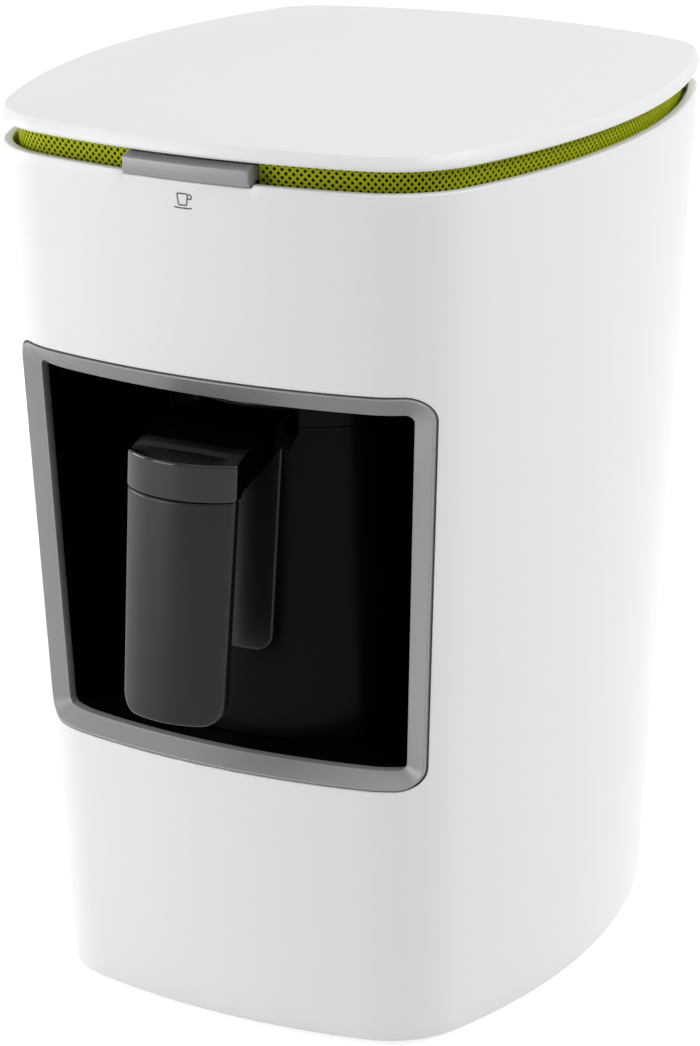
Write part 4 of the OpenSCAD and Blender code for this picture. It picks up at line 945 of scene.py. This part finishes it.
def angle_property(name, description, degrees):
    return FloatProperty(name=name, description=description, subtype="ANGLE", default=math.radians(degrees))


class CoffeeHousingSettings(bpy.types.PropertyGroup):
    """Sizes and colours of the housing."""

    foot_edge: size_property("Foot edge", "Rounding of the housing's lowest edge", 0.9)
    crown: size_property("Crown", "Rise of the top cover from its crease to its middle", 1.15)
    colour: colour_property("White", "Colour of the housing and the top cover", (0.87, 0.87, 0.873))
    trim: colour_property("Trim", "Colour of the window frame and the start button", (0.29, 0.29, 0.293))
    ink: colour_property("Ink", "Colour of the printed cup", (0.06, 0.06, 0.062))


class CoffeeBandSettings(bpy.types.PropertyGroup):
    """Sizes and colour of the perforated band."""

    pitch: size_property("Hole pitch", "Distance between holes along the band", 1.96)
    row_pitch: size_property("Row pitch", "Distance between rows of holes", 0.975)
    hole: size_property("Hole", "Diameter of a hole", 0.94)
    colour: colour_property("Lime", "Colour of the band", (0.41, 0.455, 0.008))


class CoffeePotSettings(bpy.types.PropertyGroup):
    """Sizes and colours of the pot's handle."""

    grip_edge: size_property("Grip edge", "Rounding of the grip's front edge", 0.8)
    cap_edge: size_property("Cap edge", "Rounding of the handle cap's front edge", 0.5)
    gloss: colour_property("Gloss black", "Colour of the arm and cap", (0.0015, 0.0015, 0.0016))
    matt: colour_property("Matt black", "Colour of the grip and the plate behind it", (0.003, 0.003, 0.0032))


class CoffeeStudioSettings(bpy.types.PropertyGroup):
    """Camera and floor of the studio."""

    lens: FloatProperty(name="Lens", description="Focal length of the camera in millimetres", default=121.155,
                        min=10)
    azimuth: angle_property("Azimuth", "Direction the camera stands in, from the front", 28.296)
    elevation: angle_property("Elevation", "How far the camera looks down", 18.926)
    roll: angle_property("Roll", "Turn of the camera about its own axis", -0.223)
    floor: colour_property("Floor", "Colour of the floor", (0.8, 0.8, 0.8))


# Studio

# Name, place and size in metres, watts; each lamp aims at the machine's middle.
LAMPS = (
    ("left", (-1.552, -0.387, 0.24), (0.6, 0.42), 6.7),
    ("left_front", (-1.0, -1.22, 0.5), (0.8, 1.0), 10.7),
    ("right_front", (1.522, -0.494, 1.4), (0.7, 0.7), 7.5),
    ("right_rear", (1.545, 0.414, 1.4), (0.7, 0.7), 15),
    ("top", (0.0, 0.0, 1.9), (1.2, 1.2), 8),
)
LAMP_AIM = (0, 0, 0.12)
ROOM_LIGHT, FLOOR_GLOW = 0.19, 0.8
FLOOR_SIZE, FLOOR_STEPS, FLOOR_Z = 4.0, 16, -0.00001
CAMERA_PLACE = Vector((414.10, -776.18 + CENTRE_Y, 413.28)) * MM
WHITE = (1, 1, 1, 1)


def seen_ray(tree):
    """1 for rays that show the white room: straight to the camera, mirrored or through something clear."""
    path = add_node(tree, "LightPath").outputs
    mask = path["Is Camera Ray"]
    for kind in ("Is Glossy Ray", "Is Transmission Ray"):
        mask = add_node(tree, "Math", {0: mask, 1: path[kind]}, "MAXIMUM").outputs[0]
    return mask


def build_world():
    """Dim white room that looks fully white to the camera, in mirrors and through glass."""
    world = bpy.data.worlds.new("studio_world")
    world.use_nodes = True
    tree, room = world.node_tree, world.node_tree.nodes["Background"]
    feed(tree, room, {"Color": WHITE, "Strength": ROOM_LIGHT})
    white = add_node(tree, "Background", {"Color": WHITE})
    pick = add_node(tree, "MixShader", {0: seen_ray(tree), 1: room.outputs[0], 2: white.outputs[0]})
    feed(tree, tree.nodes["World Output"], {"Surface": pick.outputs[0]})
    return world


def floor_material(colour):
    """Pale floor that shows the white room to the camera and keeps a soft shadow."""
    mat = bpy.data.materials.new("studio_floor")
    mat.use_nodes = True
    tree, shader = mat.node_tree, mat.node_tree.nodes["Principled BSDF"]
    patches = add_node(tree, "TexNoise", {"Scale": 3.0}).outputs["Fac"]
    tone = add_node(tree, "Mix")
    tone.data_type = "RGBA"
    feed(tree, tone, {0: patches, 6: (*[c * 0.99 for c in colour], 1), 7: (*colour, 1)})
    feed(tree, shader, {"Base Color": tone.outputs[2], "Roughness": 0.9, "Specular IOR Level": 0.1})
    share = add_node(tree, "Math", {1: FLOOR_GLOW}, "MULTIPLY")
    feed(tree, share, {0: seen_ray(tree)})
    glow = add_node(tree, "Emission", {"Strength": share.outputs[0]})
    both = add_node(tree, "AddShader", {0: shader.outputs[0], 1: glow.outputs[0]})
    feed(tree, tree.nodes["Material Output"], {"Surface": both.outputs[0]})
    return mat


def build_floor(scene):
    """Square floor just under the feet."""
    m = Mesher()
    steps = [(i / FLOOR_STEPS - 0.5) * FLOOR_SIZE for i in range(FLOOR_STEPS + 1)]
    m.bridges([m.ring([(x, y, FLOOR_Z) for x in steps]) for y in steps], closed=False)
    mesh = bpy.data.meshes.new("studio_floor")
    mesh.from_pydata(m.points, [], m.faces)
    mesh.materials.append(floor_material(scene.coffee_studio.floor))
    floor = bpy.data.objects.new("studio_floor", mesh)
    scene.collection.objects.link(floor)


def build_lamp(scene, name, place, size, watts):
    """Flat rectangular lamp that shines at the machine."""
    data = bpy.data.lights.new(name, "AREA")
    data.shape = "RECTANGLE"
    data.size, data.size_y = size
    data.energy = watts
    lamp = bpy.data.objects.new(name, data)
    scene.collection.objects.link(lamp)
    lamp.location = place
    lamp.rotation_mode = "QUATERNION"
    lamp.rotation_quaternion = (Vector(LAMP_AIM) - Vector(place)).to_track_quat("-Z", "Y")


def build_camera(scene):
    """Camera in front of the machine, to its right and a little above it."""
    studio = scene.coffee_studio
    az, el, roll = studio.azimuth, studio.elevation, studio.roll
    back = Vector((math.sin(az) * math.cos(el), -math.cos(az) * math.cos(el), math.sin(el)))
    right = Vector((math.cos(az), math.sin(az), 0))
    up = back.cross(right)
    side = right * math.cos(roll) + up * math.sin(roll)
    rise = up * math.cos(roll) - right * math.sin(roll)
    data = bpy.data.cameras.new("camera")
    data.lens, data.sensor_width, data.sensor_fit = studio.lens, 36.0, "AUTO"
    data.clip_start, data.clip_end = 0.05, 20.0
    camera = bpy.data.objects.new("camera", data)
    scene.collection.objects.link(camera)
    turn = Matrix((side, rise, back)).transposed().to_4x4()
    camera.matrix_world = Matrix.Translation(CAMERA_PLACE) @ turn
    scene.camera = camera


# Operators


class COFFEE_OT_shell(bpy.types.Operator):
    """Build the housing's wall"""

    bl_idname = "coffee.shell"
    bl_label = "Housing shell"

    def execute(self, context):
        mesher = build_shell(context.scene.coffee_housing.foot_edge / MM)
        make_piece("housing_shell", mesher, "housing", white_plastic(context.scene),
                   "outer_shell", 50)
        return {"FINISHED"}


class COFFEE_OT_cover(bpy.types.Operator):
    """Build the top cover"""

    bl_idname = "coffee.cover"
    bl_label = "Top cover"

    def execute(self, context):
        mesher = build_cover(context.scene.coffee_housing.crown / MM)
        make_piece("crowned_cover", mesher, "housing", white_plastic(context.scene),
                   "top_cover", 50)
        return {"FINISHED"}


class COFFEE_OT_band(bpy.types.Operator):
    """Build the perforated band"""

    bl_idname = "coffee.band"
    bl_label = "Perforated band"

    def execute(self, context):
        band = context.scene.coffee_band
        mesher = build_band(band.pitch / MM, band.row_pitch / MM, band.hole / MM)
        paint = finish_material("lime_mesh", band.colour, 0.5, shade=0.1, smudge=0.08, bump=0.08,
                                specular=0.06)
        make_piece("perforated_band", mesher, "housing", paint, "vent_band", 40)
        return {"FINISHED"}


class COFFEE_OT_window_frame(bpy.types.Operator):
    """Build the frame round the window"""

    bl_idname = "coffee.window_frame"
    bl_label = "Window frame"

    def execute(self, context):
        make_piece("niche_frame", build_window_frame(lip=0.5), "housing",
                   silver_trim(context.scene), "window_frame", 60)
        return {"FINISHED"}


class COFFEE_OT_button(bpy.types.Operator):
    """Build the start button"""

    bl_idname = "coffee.button"
    bl_label = "Start button"

    def execute(self, context):
        make_piece("start_bar", build_button(), "button", silver_trim(context.scene),
                   "start_button", 35)
        return {"FINISHED"}


class COFFEE_OT_springs(bpy.types.Operator):
    """Build the springs that return the start button"""

    bl_idname = "coffee.springs"
    bl_label = "Return springs"

    def execute(self, context):
        springs = make_piece("return_springs", build_springs(turns=6, wire_r=0.25), "housing",
                             slot_material("spring_steel"), "button_springs", 50)
        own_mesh(springs)
        return {"FINISHED"}


class COFFEE_OT_cup_mark(bpy.types.Operator):
    """Build the printed cup over the window"""

    bl_idname = "coffee.cup_mark"
    bl_label = "Printed cup"

    def execute(self, context):
        ink = finish_material("printed_ink", context.scene.coffee_housing.ink, 0.45, bump=0.0)
        make_piece("cup_mark", build_cup_mark(line=0.34), "housing", ink, None, 30)
        return {"FINISHED"}


class COFFEE_OT_vessel(bpy.types.Operator):
    """Build the pot's vessel"""

    bl_idname = "coffee.vessel"
    bl_label = "Pot vessel"

    def execute(self, context):
        make_piece("spouted_vessel", build_vessel(), "pot", slot_material("pot_steel"),
                   "pot_vessel", 50)
        return {"FINISHED"}


class COFFEE_OT_handle(bpy.types.Operator):
    """Build the collar, arm, grip and plate of the handle"""

    bl_idname = "coffee.handle"
    bl_label = "Handle"

    def execute(self, context):
        pot = context.scene.coffee_pot
        gloss = finish_material("black_gloss", pot.gloss, 0.08, smudge=0.02, bump=0.0, specular=0.4)
        satin = slot_material("black_satin")
        matt = finish_material("black_matte", pot.matt, 0.3, smudge=0.06, grain=4200.0, bump=0.08,
                               specular=0.28)
        arm, grip = build_arm(pot.cap_edge / MM), build_grip(pot.grip_edge / MM)
        make_piece("handle_cap", arm, "pot", gloss, "handle_arm", 50)
        make_piece("pot_collar", build_collar(), "pot", satin, None, 50)
        make_piece("curved_grip", grip, "pot", matt, "handle_grip", 50)
        make_piece("pot_wall_plate", build_wall_plate(), "pot", matt, "wall_plate", 50)
        return {"FINISHED"}


class COFFEE_OT_frame_finishes(bpy.types.Operator):
    """Give every part carried over from the frame its finish"""

    bl_idname = "coffee.frame_finishes"
    bl_label = "Finishes of the frame's parts"

    def execute(self, context):
        slots = {name: slot for slot, names in CARRIED.items() for name in names}
        for name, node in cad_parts.items():
            if not node.hide_render:
                node.data.materials.clear()
                node.data.materials.append(slot_material(slots[name]))
        return {"FINISHED"}


class COFFEE_OT_studio(bpy.types.Operator):
    """Set up the room, the floor, the lamps and the camera"""

    bl_idname = "coffee.studio"
    bl_label = "Studio"

    def execute(self, context):
        scene = context.scene
        scene.view_settings.view_transform = "Standard"
        scene.world = build_world()
        build_floor(scene)
        for lamp in LAMPS:
            build_lamp(scene, *lamp)
        build_camera(scene)
        return {"FINISHED"}


class COFFEE_PT_panel(bpy.types.Panel):
    """Lists the settings and the steps"""

    bl_idname = "COFFEE_PT_panel"
    bl_label = "Coffee maker"
    bl_space_type = "VIEW_3D"
    bl_region_type = "UI"
    bl_category = "Coffee Maker"

    def draw(self, context):
        for name, _ in SETTINGS:
            settings = getattr(context.scene, name)
            box = self.layout.box()
            for key in settings.__annotations__:
                box.prop(settings, key)
        for step in STEPS:
            self.layout.operator(step.bl_idname)


SETTINGS = (("coffee_housing", CoffeeHousingSettings), ("coffee_band", CoffeeBandSettings),
            ("coffee_pot", CoffeePotSettings), ("coffee_studio", CoffeeStudioSettings))
STEPS = (COFFEE_OT_shell, COFFEE_OT_cover, COFFEE_OT_band, COFFEE_OT_window_frame, COFFEE_OT_button,
         COFFEE_OT_springs, COFFEE_OT_cup_mark, COFFEE_OT_vessel, COFFEE_OT_handle, COFFEE_OT_frame_finishes,
         COFFEE_OT_studio)


def register():
    for name, group in SETTINGS:
        bpy.utils.register_class(group)
        setattr(bpy.types.Scene, name, PointerProperty(type=group))
    for step in STEPS:
        bpy.utils.register_class(step)
    bpy.utils.register_class(COFFEE_PT_panel)


def unregister():
    bpy.utils.unregister_class(COFFEE_PT_panel)
    for step in reversed(STEPS):
        bpy.utils.unregister_class(step)
    for name, group in reversed(SETTINGS):
        delattr(bpy.types.Scene, name)
        bpy.utils.unregister_class(group)


def main():
    register()
    for step in STEPS:
        name = step.bl_idname.split(".")[1]
        if getattr(bpy.ops.coffee, name)() != {"FINISHED"}:
            raise RuntimeError(step.bl_label + " could not be made")
    bpy.context.view_layer.update()


if __name__ == "__main__":
    main()
